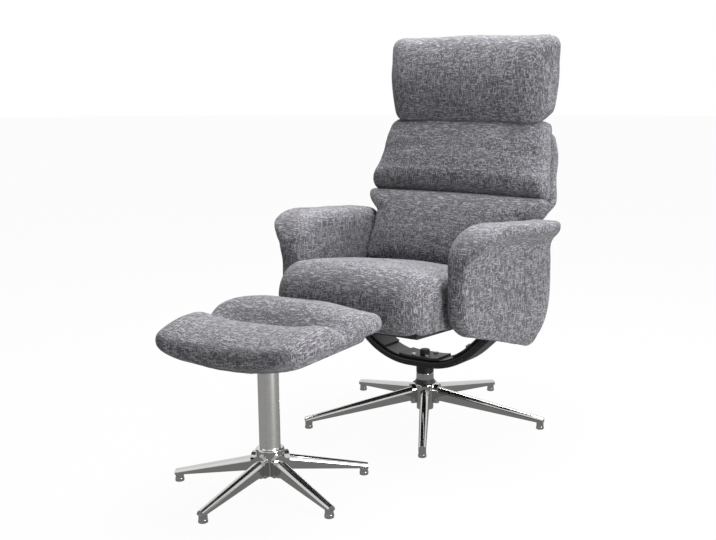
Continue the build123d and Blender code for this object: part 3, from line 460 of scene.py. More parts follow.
@dataclass
class Cushion:
    """One stuffed piece made from CAD solids.

    Attributes:
        name: Name of the finished piece.
        body: CAD body it rides on.
        nodes: CAD nodes that it stands for.
        fillers: CAD nodes that fill its hollows while it is remeshed.
        swell: How far its free faces may stand proud of the solid, in metres.
        fill: How full it is, from 0 to 1; not used, only handed on to the mirrored piece.
        rests: Directions in which it bears on something and stays at the solid's face.
        voxel: Remesh size in metres.
        fit: Moves the starting points to the photograph's line, where the cloth stands off the solid.
        close: Width of slots to close, in metres, as half of the slot.
        smooth: Smoothing steps after the remesh.
        shrink: How much smaller it starts, in metres.
        pressure: Pressure inside it while it is simulated.
        piece: The mesh object, once it is made.
        start: Its points before the simulation.
        normals: Directions in which its points may move out.
        caps: How far each point may move out, in metres.
    """

    name: str
    body: str
    nodes: tuple[str, ...]
    fillers: tuple[str, ...] = ()
    swell: float = 0.006
    fill: float = 0.75
    rests: tuple[Axis, ...] = ()
    voxel: float = 0.006
    fit: Callable[[np.ndarray], np.ndarray] | None = None
    close: float = 0.0
    smooth: int = 6
    shrink: float = 0.005
    pressure: float = 4.0
    piece: bpy.types.Object | None = field(default=None, init=False)
    start: np.ndarray | None = field(default=None, init=False)
    normals: np.ndarray | None = field(default=None, init=False)
    caps: np.ndarray | None = field(default=None, init=False)

    def prepare(self) -> None:
        """Make the slightly smaller starting mesh from the CAD solids."""
        meshes = [frame["nodes"][node].data for node in (*self.nodes, *self.fillers)]
        mesh = join_meshes(self.name, meshes)
        piece = bpy.data.objects.new(self.name, mesh)
        bpy.context.scene.collection.objects.link(piece)
        self.piece = piece
        remesh(piece, self.voxel, 0)
        if self.close:
            offset(piece, self.close)
            remesh(piece, self.voxel, 2)
            offset(piece, -self.close)
        remesh(piece, self.voxel, self.smooth)
        if self.fit:
            write_positions(piece.data, self.fit(positions(piece.data)))
        normals = vertex_normals(piece.data)
        offset(piece, -self.shrink)
        self.start = positions(piece.data)
        self.normals = normals
        caps = np.full(len(normals), self.shrink + self.swell)
        for axis in self.rests:
            facing = normals @ np.array(axis.value)
            share = np.clip((facing - REST_FROM) / REST_RAMP, 0.0, 1.0)
            caps = np.minimum(caps, self.shrink + self.swell * (1 - share))
        self.caps = caps

    def pressurise(self) -> None:
        """Give the piece its cloth, pumped up from inside and with gravity off."""
        cloth = self.piece.modifiers.new("Cloth", "CLOTH")
        settings = cloth.settings
        settings.quality = 4
        settings.mass = 0.25
        settings.tension_stiffness = 12.0
        settings.compression_stiffness = 12.0
        settings.shear_stiffness = 6.0
        settings.bending_stiffness = 1.5
        settings.use_pressure = True
        settings.uniform_pressure_force = self.pressure
        settings.effector_weights.gravity = 0.0
        cloth.collision_settings.use_collision = False
        cloth.point_cache.frame_start = 1
        cloth.point_cache.frame_end = SIM_FRAMES

    def settle(self, simulated: bool) -> None:
        """Keep the simulated shape within its caps, apply it and refine it.

        Args:
            simulated: Whether the cloth has been run.
        """
        piece = self.piece
        outward = self.caps.copy()
        slide = np.zeros_like(self.start)
        if simulated:
            graph = bpy.context.evaluated_depsgraph_get()
            moved = positions(piece.evaluated_get(graph).data) - self.start
            piece.modifiers.clear()
            along = (moved * self.normals).sum(axis=1)
            slide = moved - along[:, None] * self.normals
            length = np.linalg.norm(slide, axis=1)
            slide *= np.minimum(1.0, SLIDE_CAP / np.maximum(length, 1e-9))[:, None]
            room = self.caps - self.shrink
            outward = self.shrink + room * np.tanh(np.maximum(along, 0.0) / SWELL_SCALE)
        write_positions(piece.data, self.start + outward[:, None] * self.normals + slide)
        smoother = piece.modifiers.new("Smooth", "SMOOTH")
        smoother.factor = 0.5
        smoother.iterations = 2
        finer = piece.modifiers.new("Finer", "SUBSURF")
        finer.levels = 1
        bake(piece)
        piece.data.polygons.foreach_set("use_smooth", [True] * len(piece.data.polygons))
        faces = len(piece.data.polygons)
        log.info("%s: %d faces, out by up to %.1f mm", self.name, faces, 1000 * outward.max())

    def declare(self, material: bpy.types.Material) -> None:
        """Give the piece its cloth, hide the CAD nodes that it stands for and hang it on its body.

        Args:
            material: Its cloth.
        """
        piece = self.piece
        piece.data.materials.clear()
        piece.data.materials.append(material)
        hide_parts(*self.nodes)
        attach(piece, self.body)

    def mirrored(self, name: str, nodes: tuple[str, ...]) -> "Cushion":
        """Make the opposite-handed piece.

        Args:
            name: Name of the new piece.
            nodes: CAD nodes that it stands for.

        Returns:
            The new cushion, already settled.
        """
        other = Cushion(name, self.body, nodes, fill=self.fill)
        mesh = self.piece.data.copy()
        mesh.name = name
        flipped = positions(mesh)
        flipped[:, 0] *= -1
        write_positions(mesh, flipped)
        mesh.flip_normals()
        other.piece = bpy.data.objects.new(name, mesh)
        bpy.context.scene.collection.objects.link(other.piece)
        return other


def positions(mesh: bpy.types.Mesh) -> np.ndarray:
    """Read a mesh's points.

    Args:
        mesh: The mesh.

    Returns:
        One row per vertex.
    """
    values = np.empty(3 * len(mesh.vertices), np.float32)
    mesh.vertices.foreach_get("co", values)
    return values.reshape(-1, 3).astype(float)


def write_positions(mesh: bpy.types.Mesh, points: np.ndarray) -> None:
    """Write a mesh's points.

    Args:
        mesh: The mesh.
        points: One row per vertex.
    """
    mesh.vertices.foreach_set("co", points.astype(np.float32).ravel())
    mesh.update()


def vertex_normals(mesh: bpy.types.Mesh) -> np.ndarray:
    """Read a mesh's vertex normals.

    Args:
        mesh: The mesh.

    Returns:
        One row per vertex.
    """
    values = np.empty(3 * len(mesh.vertices), np.float32)
    mesh.vertex_normals.foreach_get("vector", values)
    return values.reshape(-1, 3).astype(float)


def offset(piece: bpy.types.Object, distance: float) -> None:
    """Move a mesh's points along their normals.

    Args:
        piece: The mesh object.
        distance: How far, in metres.
    """
    write_positions(piece.data, positions(piece.data) + distance * vertex_normals(piece.data))


def bake(piece: bpy.types.Object) -> None:
    """Put a piece's modifiers into its mesh.

    Args:
        piece: The mesh object.
    """
    graph = bpy.context.evaluated_depsgraph_get()
    made = bpy.data.meshes.new_from_object(piece.evaluated_get(graph))
    old = piece.data
    piece.modifiers.clear()
    piece.data = made
    bpy.data.meshes.remove(old)
    made.name = piece.name


def remesh(piece: bpy.types.Object, voxel: float, smooth: int) -> None:
    """Voxel remesh and smooth a piece.

    Args:
        piece: The mesh object.
        voxel: Voxel size in metres.
        smooth: Smoothing steps.
    """
    remesher = piece.modifiers.new("Remesh", "REMESH")
    remesher.mode = "VOXEL"
    remesher.voxel_size = voxel
    if smooth:
        smoother = piece.modifiers.new("Smooth", "SMOOTH")
        smoother.factor = 0.5
        smoother.iterations = smooth
    bake(piece)


def join_meshes(name: str, meshes: list[bpy.types.Mesh]) -> bpy.types.Mesh:
    """Put copies of several meshes into one.

    Args:
        name: Name of the new mesh.
        meshes: Meshes to copy.

    Returns:
        The joined mesh.
    """
    points: list[tuple[float, ...]] = []
    faces: list[list[int]] = []
    for mesh in meshes:
        first = len(points)
        points += [tuple(row) for row in positions(mesh)]
        faces += [[first + v for v in polygon.vertices] for polygon in mesh.polygons]
    joined = bpy.data.meshes.new(name)
    joined.from_pydata(points, [], faces)
    joined.update()
    return joined


def ease(values: np.ndarray, start: float, end: float) -> np.ndarray:
    """Smooth step from 0 at start to 1 at end.

    Args:
        values: Where to read it.
        start: Value that gives 0.
        end: Value that gives 1.

    Returns:
        The step at each value.
    """
    share = np.clip((values - start) / (end - start), 0.0, 1.0)
    return share * share * (3 - 2 * share)


def rounded(share: np.ndarray) -> np.ndarray:
    """Height of a quarter circle at each share of its width."""
    return np.sqrt(1 - (1 - np.clip(share, 0, 1)) ** 2)


def on_back(points: np.ndarray) -> tuple[np.ndarray, np.ndarray]:
    """Place points against the back's slope.

    Args:
        points: Points in the part's frame.

    Returns:
        How far each lies up the slope from the seam, and how far ahead of the back's rear plane.
    """
    rise, back = points[:, 2] - BACK_SEAM[2], points[:, 1] - BACK_SEAM[1]
    up = back * math.sin(BACK_LEAN) + rise * math.cos(BACK_LEAN)
    ahead = rise * math.sin(BACK_LEAN) - back * math.cos(BACK_LEAN)
    return up, ahead


# In each fit below, a span gives the place where a move starts and the place where it is whole.


@dataclass(frozen=True)
class HeadrestFit:
    """Lets the headrest's front edge sink onto the back, tapers it down and squares its top corners."""

    sink: float = 0.011
    sink_depth: Span = (0.285, 0.225)
    sink_height: Span = (0.95, 0.86)
    width: float = 1.012
    taper: float = 0.036
    taper_height: Span = (1.0, 0.86)
    corner_out: float = 0.011
    corner_up: float = 0.01
    corner_side: Span = (0.19, 0.262)
    corner_height: Span = (1.0, 1.08)

    def __call__(self, points: np.ndarray) -> np.ndarray:
        """Move the headrest's points.

        Args:
            points: One row per point.

        Returns:
            The moved points.
        """
        x, y, z = points.T.copy()
        points[:, 2] -= self.sink * ease(y, *self.sink_depth) * ease(z, *self.sink_height)
        points[:, 0] *= self.width - self.taper * ease(z, *self.taper_height)
        corner = ease(np.abs(x), *self.corner_side) * ease(z, *self.corner_height)
        points[:, 0] += self.corner_out * np.sign(x) * corner
        points[:, 2] += self.corner_up * corner
        return points


@dataclass(frozen=True)
class UpperBackFit:
    """Draws the upper back out a little, lifts its top edge and evens out its crown.

    The crown is read along the pad's middle at a number of stations up the slope.
    """

    stations: int = 24
    station_span: Span = (0.004, 0.226)
    middle: float = 0.03
    reading: float = 0.006
    low_round: float = 0.06
    high_round: float = 0.05
    high_end: float = 0.234
    rim: float = 0.05
    crown: float = 0.042
    bulge: float = 0.004
    bulge_length: float = 0.23
    face: Span = (0.02, 0.05)
    widening: float = 0.028
    widening_height: Span = (0.6, 0.64)
    top_widening: float = 0.012
    top_widening_height: Span = (0.78, 0.83)
    lift: float = 0.005
    lift_height: Span = (0.76, 0.83)

    def __call__(self, points: np.ndarray) -> np.ndarray:
        """Move the upper back's points.

        Args:
            points: One row per point.

        Returns:
            The moved points.
        """
        up, ahead = on_back(points)
        steps = np.linspace(*self.station_span, self.stations)
        middle = np.abs(points[:, 0]) < self.middle
        found = [ahead[middle & (np.abs(up - step) < self.reading)].max() for step in steps]
        low = rounded(steps / self.low_round)
        high = rounded((self.high_end - steps) / self.high_round)
        bulge = self.bulge * np.sin(math.pi * steps / self.bulge_length)
        wanted = self.rim + self.crown * np.minimum(low, high) + bulge
        push = np.interp(up, steps, wanted - np.array(found)) * ease(ahead, *self.face)
        points[:, 1] -= push * math.cos(BACK_LEAN)
        points[:, 2] += push * math.sin(BACK_LEAN)
        z = points[:, 2].copy()
        top = self.top_widening * ease(z, *self.top_widening_height)
        points[:, 0] *= 1 + self.widening * ease(z, *self.widening_height) + top
        points[:, 2] += self.lift * ease(z, *self.lift_height)
        return points


@dataclass(frozen=True)
class PanelFit:
    """Draws the rear panel out to the back's full width above the arms."""

    widening: float = 0.05
    widening_height: Span = (0.585, 0.62)
    narrowing: float = 0.022
    narrowing_height: Span = (0.7, 0.8)
    lift: float = 0.004
    lift_height: Span = (0.76, 0.83)

    def __call__(self, points: np.ndarray) -> np.ndarray:
        """Move the panel's points.

        Args:
            points: One row per point.

        Returns:
            The moved points.
        """
        z = points[:, 2].copy()
        wider = self.widening * ease(z, *self.widening_height)
        points[:, 0] *= 1 + wider - self.narrowing * ease(z, *self.narrowing_height)
        points[:, 2] += self.lift * ease(z, *self.lift_height)
        return points


@dataclass(frozen=True)
class LowerBackFit:
    """Fills the lower back out to the arms in front of the hinge brackets and down behind the seat.

    The solid's own half width is given at four places up the slope.
    """

    solid_up: tuple[float, ...] = (-0.175, -0.146, -0.108, -0.072)
    solid_half: tuple[float, ...] = (0.209, 0.212, 0.233, 0.251)
    half: float = 0.251
    face: Span = (0.03, 0.044)
    face_height: Span = (0.445, 0.465)
    top_widening: float = 0.06
    top_height: Span = (0.572, 0.606)
    corner_out: float = 0.012
    corner_down: float = 0.02
    corner_side: Span = (0.16, 0.225)
    corner_up: Span = (-0.12, -0.165)
    corner_face: Span = (0.04, 0.07)

    def __call__(self, points: np.ndarray) -> np.ndarray:
        """Move the lower back's points.

        Args:
            points: One row per point.

        Returns:
            The moved points.
        """
        up, ahead = on_back(points)
        z = points[:, 2].copy()
        wider = np.maximum(self.half / np.interp(up, self.solid_up, self.solid_half) - 1, 0.0)
        wider *= ease(ahead, *self.face) * ease(z, *self.face_height)
        points[:, 0] *= 1 + wider + self.top_widening * ease(z, *self.top_height)
        corner = ease(np.abs(points[:, 0]), *self.corner_side) * ease(up, *self.corner_up)
        corner *= ease(ahead, *self.corner_face)
        points[:, 0] += self.corner_out * np.sign(points[:, 0]) * corner
        points[:, 2] -= self.corner_down * corner
        return points


@dataclass(frozen=True)
class SeatFit:
    """Brings the seat's cover down round the front of its frame."""

    skirt: float = 0.011
    skirt_height: Span = (0.4, 0.355)
    front: Span = (-0.352, -0.374)
    side: Span = (0.208, 0.218)
    side_front: Span = (-0.14, -0.17)

    def __call__(self, points: np.ndarray) -> np.ndarray:
        """Move the seat's points.

        Args:
            points: One row per point.

        Returns:
            The moved points.
        """
        x, y, z = points.T.copy()
        sides = ease(np.abs(x), *self.side) * ease(y, *self.side_front)
        edge = np.maximum(ease(y, *self.front), sides)
        points[:, 2] -= self.skirt * edge * ease(z, *self.skirt_height)
        return points


@dataclass(frozen=True)
class StoolFit:
    """Draws the stool's ends in, sinks its sewn channel and fills the pads beside it."""

    top_height: Span = (0.375, 0.4)
    left_draw: float = 0.145
    right_draw: float = 0.095
    draw_reach: Span = (0.05, 0.2)
    shift: float = 0.010
    channel: float = 0.017
    channel_side: Span = (0.05, 0.0)
    rear_crown: float = 0.03
    rear_side: Span = (0.01, 0.09)
    rear_middle: float = -0.02
    rear_reach: Span = (0.23, 0.06)
    front_crown: float = 0.006
    front_side: Span = (-0.02, -0.1)
    front_reach: Span = (0.21, 0.04)
    belly: float = 0.004
    belly_height: Span = (0.352, 0.335)

    def __call__(self, points: np.ndarray) -> np.ndarray:
        """Move the stool's points.

        Args:
            points: One row per point.

        Returns:
            The moved points.
        """
        along = np.array(STOOL_ALONG)
        reach = (points - np.array(STOOL_CENTRE)) @ along
        side = (points - np.array(STOOL_CENTRE)) @ np.array(STOOL_OVER)
        z = points[:, 2]
        top = ease(z, *self.top_height)
        drawn = np.where(reach < 0, self.left_draw, self.right_draw) * reach
        drawn = drawn * ease(np.abs(reach), *self.draw_reach)
        moved = points - np.outer(drawn - self.shift, along)
        moved[:, 2] -= self.channel * top * ease(np.abs(side), *self.channel_side)
        rear = ease(side, *self.rear_side)
        moved[:, 2] += self.rear_crown * top * rear * ease(np.abs(reach - self.rear_middle), *self.rear_reach)
        front = ease(side, *self.front_side)
        moved[:, 2] += self.front_crown * top * front * ease(np.abs(reach), *self.front_reach)
        moved[:, 2] += self.belly * ease(z, *self.belly_height)
        return moved


@dataclass(frozen=True)
class ArmFit:
    """Flattens the right arm's outer face under its lip and lets its heel down."""

    ahead: Span = (0.05, -0.2)
    flat: float = 0.008
    flat_ahead: float = 0.01
    flat_height: Span = (0.58, 0.53)
    flat_side: Span = (0.29, 0.33)
    lip: float = 0.009
    lip_ahead: float = 0.006
    lip_side: Span = (0.345, 0.378)
    heel: float = 0.01
    heel_rear: float = 0.006
    heel_rear_depth: Span = (-0.02, 0.06)
    heel_end: float = 0.009
    heel_end_depth: Span = (0.064, 0.09)
    heel_height: Span = (0.38, 0.3)

    def __call__(self, points: np.ndarray) -> np.ndarray:
        """Move the arm's points.

        Args:
            points: One row per point.

        Returns:
            The moved points.
        """
        x, y, z = points.T.copy()
        ahead = ease(y, *self.ahead)
        flat = (self.flat + self.flat_ahead * ahead) * ease(z, *self.flat_height)
        points[:, 0] -= flat * ease(x, *self.flat_side)
        points[:, 0] -= (self.lip + self.lip_ahead * ahead) * ease(x, *self.lip_side)
        drop = self.heel + self.heel_rear * ease(y, *self.heel_rear_depth)
        drop = drop - self.heel_end * ease(y, *self.heel_end_depth)
        points[:, 2] -= drop * ease(z, *self.heel_height)
        return points


@dataclass
class Upholstery:
    """All stuffed pieces of the chair and of the footstool."""

    arm: Cushion = field(default_factory=lambda: Cushion(
        "arm_right_cushion", "carriage", ("arm_pad_right",), ("arm_core_right",),
        swell=0.003, fill=0.85, rests=(Axis.LEFT, Axis.DOWN), fit=ArmFit(), close=0.011, smooth=3))
    seat: Cushion = field(default_factory=lambda: Cushion(
        "seat_cushion", "seat", ("seat_pad",), swell=0.007, fill=0.8, fit=SeatFit(),
        rests=(Axis.LEFT, Axis.RIGHT, Axis.DOWN, Axis.REAR)))
    lower: Cushion = field(default_factory=lambda: Cushion(
        "back_cushion_lower", "back", ("back_pad_lower",), swell=0.006, fill=0.75,
        rests=(Axis.LEFT, Axis.RIGHT, Axis.REAR, Axis.DOWN), voxel=0.005, fit=LowerBackFit(), smooth=4))
    upper: Cushion = field(default_factory=lambda: Cushion(
        "back_cushion_upper", "back", ("back_pad_upper",), swell=0.006, fill=0.75,
        rests=(Axis.REAR,), voxel=0.005, fit=UpperBackFit(), smooth=22))
    shell: Cushion = field(default_factory=lambda: Cushion(
        "back_panel", "back", ("back_shell",), swell=0.001, fill=0.5,
        rests=(Axis.FRONT,), voxel=0.005, fit=PanelFit(), smooth=3, shrink=0.002, pressure=2.0))
    head: Cushion = field(default_factory=lambda: Cushion(
        "headrest_cushion", "headrest", ("headrest_pad",), ("headrest_core",),
        swell=0.005, fill=0.8, voxel=0.005, fit=HeadrestFit(), smooth=2))
    stool: Cushion = field(default_factory=lambda: Cushion(
        "stool_cushion", "stool", ("stool_pad_front", "stool_pad_rear", "stool_board"), swell=0.004, fill=0.8,
        rests=(Axis.DOWN,), voxel=0.005, fit=StoolFit(), close=0.006, smooth=5))

    def build(self, material: bpy.types.Material) -> None:
        """Simulate, settle and declare every cushion.

        Args:
            material: The cloth that covers them.
        """
        cushions = [self.arm, self.seat, self.lower, self.upper, self.shell, self.head, self.stool]
        for cushion in cushions:
            cushion.prepare()
        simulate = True
        if simulate:
            for cushion in cushions:
                cushion.pressurise()
            for step in range(1, SIM_FRAMES + 1):
                bpy.context.scene.frame_set(step)
        for cushion in cushions:
            cushion.settle(simulate)
        bpy.context.scene.frame_set(1)
        cushions.append(self.arm.mirrored("arm_left_cushion", ("arm_pad_left",)))
        for cushion in cushions:
            cushion.declare(material)


@dataclass
class Stitching:
    """Rows of stitches beside the sewn channels, instanced along paths laid on the cushions.

    Attributes:
        spacing: Distance between stitches, in metres.
        length: Length of a stitch.
        thickness: Thickness of the thread.
        seed: Seed of the stitches' slight differences in length.
        sink: How far the rows lie in the cloth.
        ray_start: How far off the cloth the search for it starts.
        back_side: Distance of the back's rows from the seam.
        back_half: Half length of the back's rows.
        back_points: Points on each of the back's paths.
        stool_side: Distance of the stool's rows from the channel's middle.
        stool_reach: Ends of the stool's rows along it.
        stool_points: Points on each of the stool's paths.
    """

    spacing: float = 0.0075
    length: float = 0.0052
    thickness: float = 0.0011
    seed: int = 7
    sink: float = 0.0002
    ray_start: float = 0.3
    back_side: float = 0.010
    back_half: float = 0.262
    back_points: int = 120
    stool_side: float = 0.007
    stool_reach: Span = (-0.18, 0.2)
    stool_points: int = 100

    def group(self, thread: bpy.types.Material) -> bpy.types.NodeTree:
        """Make the node group that puts a stitch at every step along a curve.

        Args:
            thread: Material of the stitches.

        Returns:
            The node group.
        """
        tree = bpy.data.node_groups.new("stitch_row", "GeometryNodeTree")
        face = tree.interface
        face.new_socket("Path", in_out="INPUT", socket_type="NodeSocketGeometry")
        for name in ("Spacing", "Length", "Thickness"):
            face.new_socket(name, in_out="INPUT", socket_type="NodeSocketFloat")
        face.new_socket("Seed", in_out="INPUT", socket_type="NodeSocketInt")
        face.new_socket("Stitches", in_out="OUTPUT", socket_type="NodeSocketGeometry")
        nodes = tree.nodes
        given = nodes.new("NodeGroupInput")
        result = nodes.new("NodeGroupOutput")
        points = nodes.new("GeometryNodeResampleCurve")
        points.mode = "LENGTH"
        tangent = nodes.new("GeometryNodeInputTangent")
        turn = nodes.new("FunctionNodeAlignRotationToVector")
        turn.axis = "X"
        stitch = nodes.new("GeometryNodeMeshUVSphere")
        stitch.inputs["Segments"].default_value = 8
        stitch.inputs["Rings"].default_value = 5
        stitch.inputs["Radius"].default_value = 0.5
        size = nodes.new("ShaderNodeCombineXYZ")
        vary = nodes.new("FunctionNodeRandomValue")
        vary.data_type = "FLOAT"
        vary.inputs[2].default_value = 0.9
        vary.inputs[3].default_value = 1.08
        long = nodes.new("ShaderNodeMath")
        long.operation = "MULTIPLY"
        place = nodes.new("GeometryNodeInstanceOnPoints")
        real = nodes.new("GeometryNodeRealizeInstances")
        paint = nodes.new("GeometryNodeSetMaterial")
        paint.inputs["Material"].default_value = thread
        links = (
            (given, "Path", points, "Curve"),
            (given, "Spacing", points, "Length"),
            (tangent, "Tangent", turn, "Vector"),
            (given, "Seed", vary, "Seed"),
            (given, "Length", long, 0),
            (vary, 1, long, 1),
            (long, 0, size, "X"),
            (given, "Thickness", size, "Y"),
            (given, "Thickness", size, "Z"),
            (points, "Curve", place, "Points"),
            (stitch, "Mesh", place, "Instance"),
            (turn, "Rotation", place, "Rotation"),
            (size, "Vector", place, "Scale"),
            (place, "Instances", real, "Geometry"),
            (real, "Geometry", paint, "Geometry"),
            (paint, "Geometry", result, "Stitches"),
        )
        for source, out, target, into in links:
            tree.links.new(source.outputs[out], target.inputs[into])
        return tree

    def row(self, name: str, body: str, path: list[Vector], tree: bpy.types.NodeTree) -> None:
        """Sew one row.

        Args:
            name: Name of the row.
            body: CAD body that it rides on.
            path: Points on the cloth.
            tree: The stitch node group.
        """
        curve = bpy.data.curves.new(name, "CURVE")
        curve.dimensions = "3D"
        spline = curve.splines.new("POLY")
        spline.points.add(len(path) - 1)
        for point, place in zip(spline.points, path):
            point.co = (*place, 1.0)
        carrier = bpy.data.objects.new(name + "_path", curve)
        bpy.context.scene.collection.objects.link(carrier)
        sewing = carrier.modifiers.new("Stitches", "NODES")
        sewing.node_group = tree
        values = {
            "Spacing": self.spacing,
            "Length": self.length,
            "Thickness": self.thickness,
            "Seed": self.seed,
        }
        for item in tree.interface.items_tree:
            if item.in_out == "INPUT" and item.name in values:
                sewing[item.identifier] = values[item.name]
        bpy.context.view_layer.update()
        graph = bpy.context.evaluated_depsgraph_get()
        mesh = bpy.data.meshes.new_from_object(carrier.evaluated_get(graph))
        bpy.data.objects.remove(carrier)
        bpy.data.curves.remove(curve)
        mesh.name = name
        mesh.polygons.foreach_set("use_smooth", [True] * len(mesh.polygons))
        piece = bpy.data.objects.new(name, mesh)
        bpy.context.scene.collection.objects.link(piece)
        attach(piece, body)
        log.info("%s: %d faces", name, len(mesh.polygons))

    def sew_back(self, upholstery: Upholstery, tree: bpy.types.NodeTree) -> None:
        """Sew a row on each side of the back's seam.

        Args:
            upholstery: The finished cushions.
            tree: The stitch node group.
        """
        slope = Vector((0.0, math.sin(BACK_LEAN), math.cos(BACK_LEAN)))
        inward = Vector((0.0, math.cos(BACK_LEAN), -math.sin(BACK_LEAN)))
        spots = np.linspace(-self.back_half, self.back_half, self.back_points).tolist()
        rows = (
            ("back_stitch_low", upholstery.lower, -self.back_side),
            ("back_stitch_high", upholstery.upper, self.back_side),
        )
        for name, cushion, up in rows:
            middle = Vector(BACK_SEAM) + up * slope - self.ray_start * inward
            starts = [middle + Vector((x, 0, 0)) for x in spots]
            self.row(name, cushion.body, lay(cushion.piece, starts, inward, self.sink), tree)

    def sew_stool(self, upholstery: Upholstery, tree: bpy.types.NodeTree) -> None:
        """Sew a row on each side of the stool's channel.

        Args:
            upholstery: The finished cushions.
            tree: The stitch node group.
        """
        stool = upholstery.stool
        above = Vector(STOOL_CENTRE) + Vector((0.0, 0.0, 2 * self.ray_start))
        spots = np.linspace(*self.stool_reach, self.stool_points).tolist()
        for name, side in (("stool_stitch_front", -self.stool_side), ("stool_stitch_rear", self.stool_side)):
            starts = [above + side * Vector(STOOL_OVER) + x * Vector(STOOL_ALONG) for x in spots]
            path = lay(stool.piece, starts, Vector(Axis.DOWN.value), self.sink)
            self.row(name, stool.body, path, tree)

    def build(self, upholstery: Upholstery) -> None:
        """Sew every row.

        Args:
            upholstery: The finished cushions.
        """
        tree = self.group(THREAD.build())
        self.sew_back(upholstery, tree)
        self.sew_stool(upholstery, tree)


def lay(piece: bpy.types.Object, starts: list[Vector], direction: Vector, sink: float) -> list[Vector]:
    """Lay points on a piece along a direction.

    Args:
        piece: Mesh to lie on.
        starts: Points outside it.
        direction: Way to go.
        sink: How far to go below the surface, in metres.

    Returns:
        The points found.
    """
    found = []
    for start in starts:
        hit, place, normal, _ = piece.ray_cast(start, direction)
        if hit:
            found.append(place - sink * normal)
    return found


@dataclass
class Hardware:
    """Finishes of the CAD nodes that show as they are.

    Attributes:
        materials: Materials by the name of their slot.
        shown_as: Nodes whose finish differs from that of their slot.
    """

    materials: dict[str, bpy.types.Material]
    shown_as: dict[str, str] = field(default_factory=lambda: {
        "base_glides": "chrome", "stool_glides": "chrome", "stool_column": "satin_chrome"})

    def build(self) -> None:
        """Give every CAD node its finish."""
        for part in frame["record"]["subparts"]:
            mesh = frame["nodes"][part["node"]].data
            mesh.materials.clear()
            finish = self.shown_as.get(part["node"], part["material_slot"])
            mesh.materials.append(self.materials[finish])


def facing(place: Triple, aim: Triple) -> Euler:
    """Turn that points an object's -Z from one place to another.

    Args:
        place: Where the object is.
        aim: Point that it faces.

    Returns:
        The rotation.
    """
    return (Vector(aim) - Vector(place)).to_track_quat("-Z", "Y").to_euler()


@dataclass(frozen=True)
class Lamp:
    """A soft square lamp, with its edge length in metres and its power in watts."""

    name: str
    place: Triple
    aim: Triple
    size: float
    power: float

    def build(self) -> None:
        """Hang the lamp."""
        data = bpy.data.lights.new(self.name, "AREA")
        data.size = self.size
        data.energy = self.power
        lamp = bpy.data.objects.new(self.name, data)
        lamp.location = self.place
        lamp.rotation_euler = facing(self.place, self.aim)
        bpy.context.scene.collection.objects.link(lamp)


@dataclass(frozen=True)
class Card:
    """A dark card that only polished surfaces see, with its width and height in metres."""

    name: str
    place: Triple
    aim: Triple
    wide: float
    high: float

    def build(self) -> None:
        """Stand the card up."""
        mesh = bpy.data.meshes.new(self.name)
        a, b = self.wide / 2, self.high / 2
        mesh.from_pydata([(-a, -b, 0), (a, -b, 0), (a, b, 0), (-a, b, 0)], [], [(0, 1, 2, 3)])
        piece = bpy.data.objects.new(self.name, mesh)
        piece.location = self.place
        piece.rotation_euler = facing(self.place, self.aim)
        bpy.context.scene.collection.objects.link(piece)
        for kind in ("camera", "diffuse", "shadow", "transmission", "volume_scatter"):
            setattr(piece, "visible_" + kind, False)
        graph = Graph(self.name)
        graph.set(Base_Color=(0.02, 0.02, 0.022, 1.0), Roughness=1.0, Specular_IOR_Level=0.0)
        mesh.materials.append(graph.material)


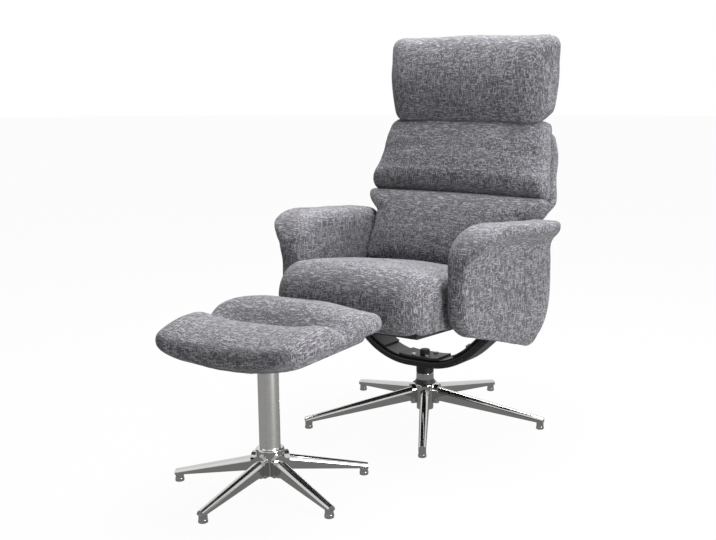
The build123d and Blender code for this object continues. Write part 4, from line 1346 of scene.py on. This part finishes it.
@dataclass
class Studio:
    """Camera, lamps, white surround and floor.

    Attributes:
        eye: Place of the camera.
        tilt: Its tilt from straight down, in degrees.
        turn: Its turn about the upright, in degrees.
        lens: Its focal length in millimetres.
        shift: Its sideways shift.
        ambient: Light from all round, where nothing looks at it.
        floor_radius: Radius of the floor.
        floor_sides: Sides of the floor's outline.
        floor_tone: How much light the floor gives back.
        floor_glow: Share of its look that is plain white.
        floor_dimming: How much darker that white is in a reflection.
        lamps: The lamps.
        cards: The cards.
    """

    eye: Triple = (1.6588, -2.5017, 0.9533)
    tilt: float = 80.14
    turn: float = 33.0
    lens: float = 54.17
    shift: float = -0.1075
    ambient: float = 0.12
    floor_radius: float = 30.0
    floor_sides: int = 64
    floor_tone: float = 0.5
    floor_glow: float = 0.965
    floor_dimming: float = 0.75
    lamps: tuple[Lamp, ...] = (
        Lamp("key", (3.0, -0.7, 0.85), (0.1, -0.2, 0.45), 1.3, 86.0),
        Lamp("top", (0.1, 0.35, 3.0), (0.0, -0.3, 0.4), 2.0, 176.0),
        Lamp("fill", (-1.6, -3.2, 1.6), (0.0, -0.2, 0.5), 1.8, 2.0),
    )
    cards: tuple[Card, ...] = (
        Card("dark_side", (3.0, 0.4, 0.6), (0.0, -0.3, 0.2), 1.5, 1.6),
        Card("dark_left", (-2.8, -1.4, 0.6), (0.0, -0.3, 0.2), 1.6, 1.6),
        Card("dark_front", (0.3, -3.6, 0.5), (0.0, -0.3, 0.2), 1.3, 1.3),
    )

    def camera(self) -> None:
        """Stand the camera where the photograph was taken from."""
        data = bpy.data.cameras.new("camera")
        data.lens = self.lens
        data.sensor_width = 36.0
        data.shift_x = self.shift
        data.clip_end = 60.0
        camera = bpy.data.objects.new("camera", data)
        camera.location = self.eye
        camera.rotation_euler = (math.radians(self.tilt), 0.0, math.radians(self.turn))
        bpy.context.scene.collection.objects.link(camera)
        bpy.context.scene.camera = camera

    def surround(self) -> None:
        """Light the scene evenly, white where the camera or a reflection sees it."""
        world = bpy.data.worlds.new("surround")
        world.use_nodes = True
        bpy.context.scene.world = world
        tree = world.node_tree
        tree.nodes.clear()
        out = tree.nodes.new("ShaderNodeOutputWorld")
        mix = tree.nodes.new("ShaderNodeMixShader")
        for socket, strength in ((1, self.ambient), (2, 1.0)):
            light = tree.nodes.new("ShaderNodeBackground")
            light.inputs["Color"].default_value = (1.0, 1.0, 1.0, 1.0)
            light.inputs["Strength"].default_value = strength
            tree.links.new(light.outputs[0], mix.inputs[socket])
        tree.links.new(self.seen(tree).outputs[0], mix.inputs["Fac"])
        tree.links.new(mix.outputs[0], out.inputs["Surface"])

    def seen(self, tree: bpy.types.NodeTree) -> bpy.types.Node:
        """Add nodes that give 1 where the camera or a reflection looks.

        Args:
            tree: Node tree to add to.

        Returns:
            The last node.
        """
        path = tree.nodes.new("ShaderNodeLightPath")
        last = None
        for name in ("Is Camera Ray", "Is Glossy Ray", "Is Transmission Ray"):
            if last is None:
                last = path.outputs[name]
                continue
            top = tree.nodes.new("ShaderNodeMath")
            top.operation = "MAXIMUM"
            tree.links.new(last, top.inputs[0])
            tree.links.new(path.outputs[name], top.inputs[1])
            last = top.outputs[0]
        return last.node

    def floor(self) -> None:
        """Lay a pale floor that keeps the object's shadow."""
        mesh = bpy.data.meshes.new("floor")
        turns = [math.tau * i / self.floor_sides for i in range(self.floor_sides)]
        radius = self.floor_radius
        points = [(radius * math.cos(turn), radius * math.sin(turn), 0.0) for turn in turns]
        mesh.from_pydata(points, [], [list(range(self.floor_sides))])
        piece = bpy.data.objects.new("floor", mesh)
        bpy.context.scene.collection.objects.link(piece)
        graph = Graph("pale_floor")
        graph.set(Base_Color=(self.floor_tone, self.floor_tone, self.floor_tone, 1.0), Roughness=0.9)
        glow = graph.node("Emission", in_Color=(1.0, 1.0, 1.0, 1.0))
        mirrored = graph.node("LightPath")
        dimmed = graph.node("Math", operation="MULTIPLY_ADD")
        dimmed.inputs[1].default_value = -self.floor_dimming
        dimmed.inputs[2].default_value = 1.0
        graph.link(mirrored, "Is Glossy Ray", dimmed, 0)
        graph.link(dimmed, "Value", glow, "Strength")
        share = graph.node("Math", operation="MULTIPLY")
        share.inputs[1].default_value = self.floor_glow
        graph.link(self.seen(graph.tree), 0, share, 0)
        mix = graph.node("MixShader")
        graph.link(share, "Value", mix, "Fac")
        graph.link(graph.shader, "BSDF", mix, 1)
        graph.link(glow, "Emission", mix, 2)
        graph.link(mix, "Shader", graph.output, "Surface")
        mesh.materials.append(graph.material)

    def build(self) -> None:
        """Set up everything round the object."""
        bpy.context.scene.view_settings.view_transform = "Standard"
        self.camera()
        self.surround()
        self.floor()
        for stand in (*self.lamps, *self.cards):
            stand.build()


def main() -> None:
    """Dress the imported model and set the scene."""
    logging.basicConfig(level=logging.INFO, format="%(name)s %(message)s")
    materials = {slot: finish.build() for slot, finish in FINISHES.items()}
    Hardware(materials).build()
    upholstery = Upholstery()
    upholstery.build(materials["upholstery"])
    Stitching().build(upholstery)
    Studio().build()


if __name__ == "__main__":
    main()
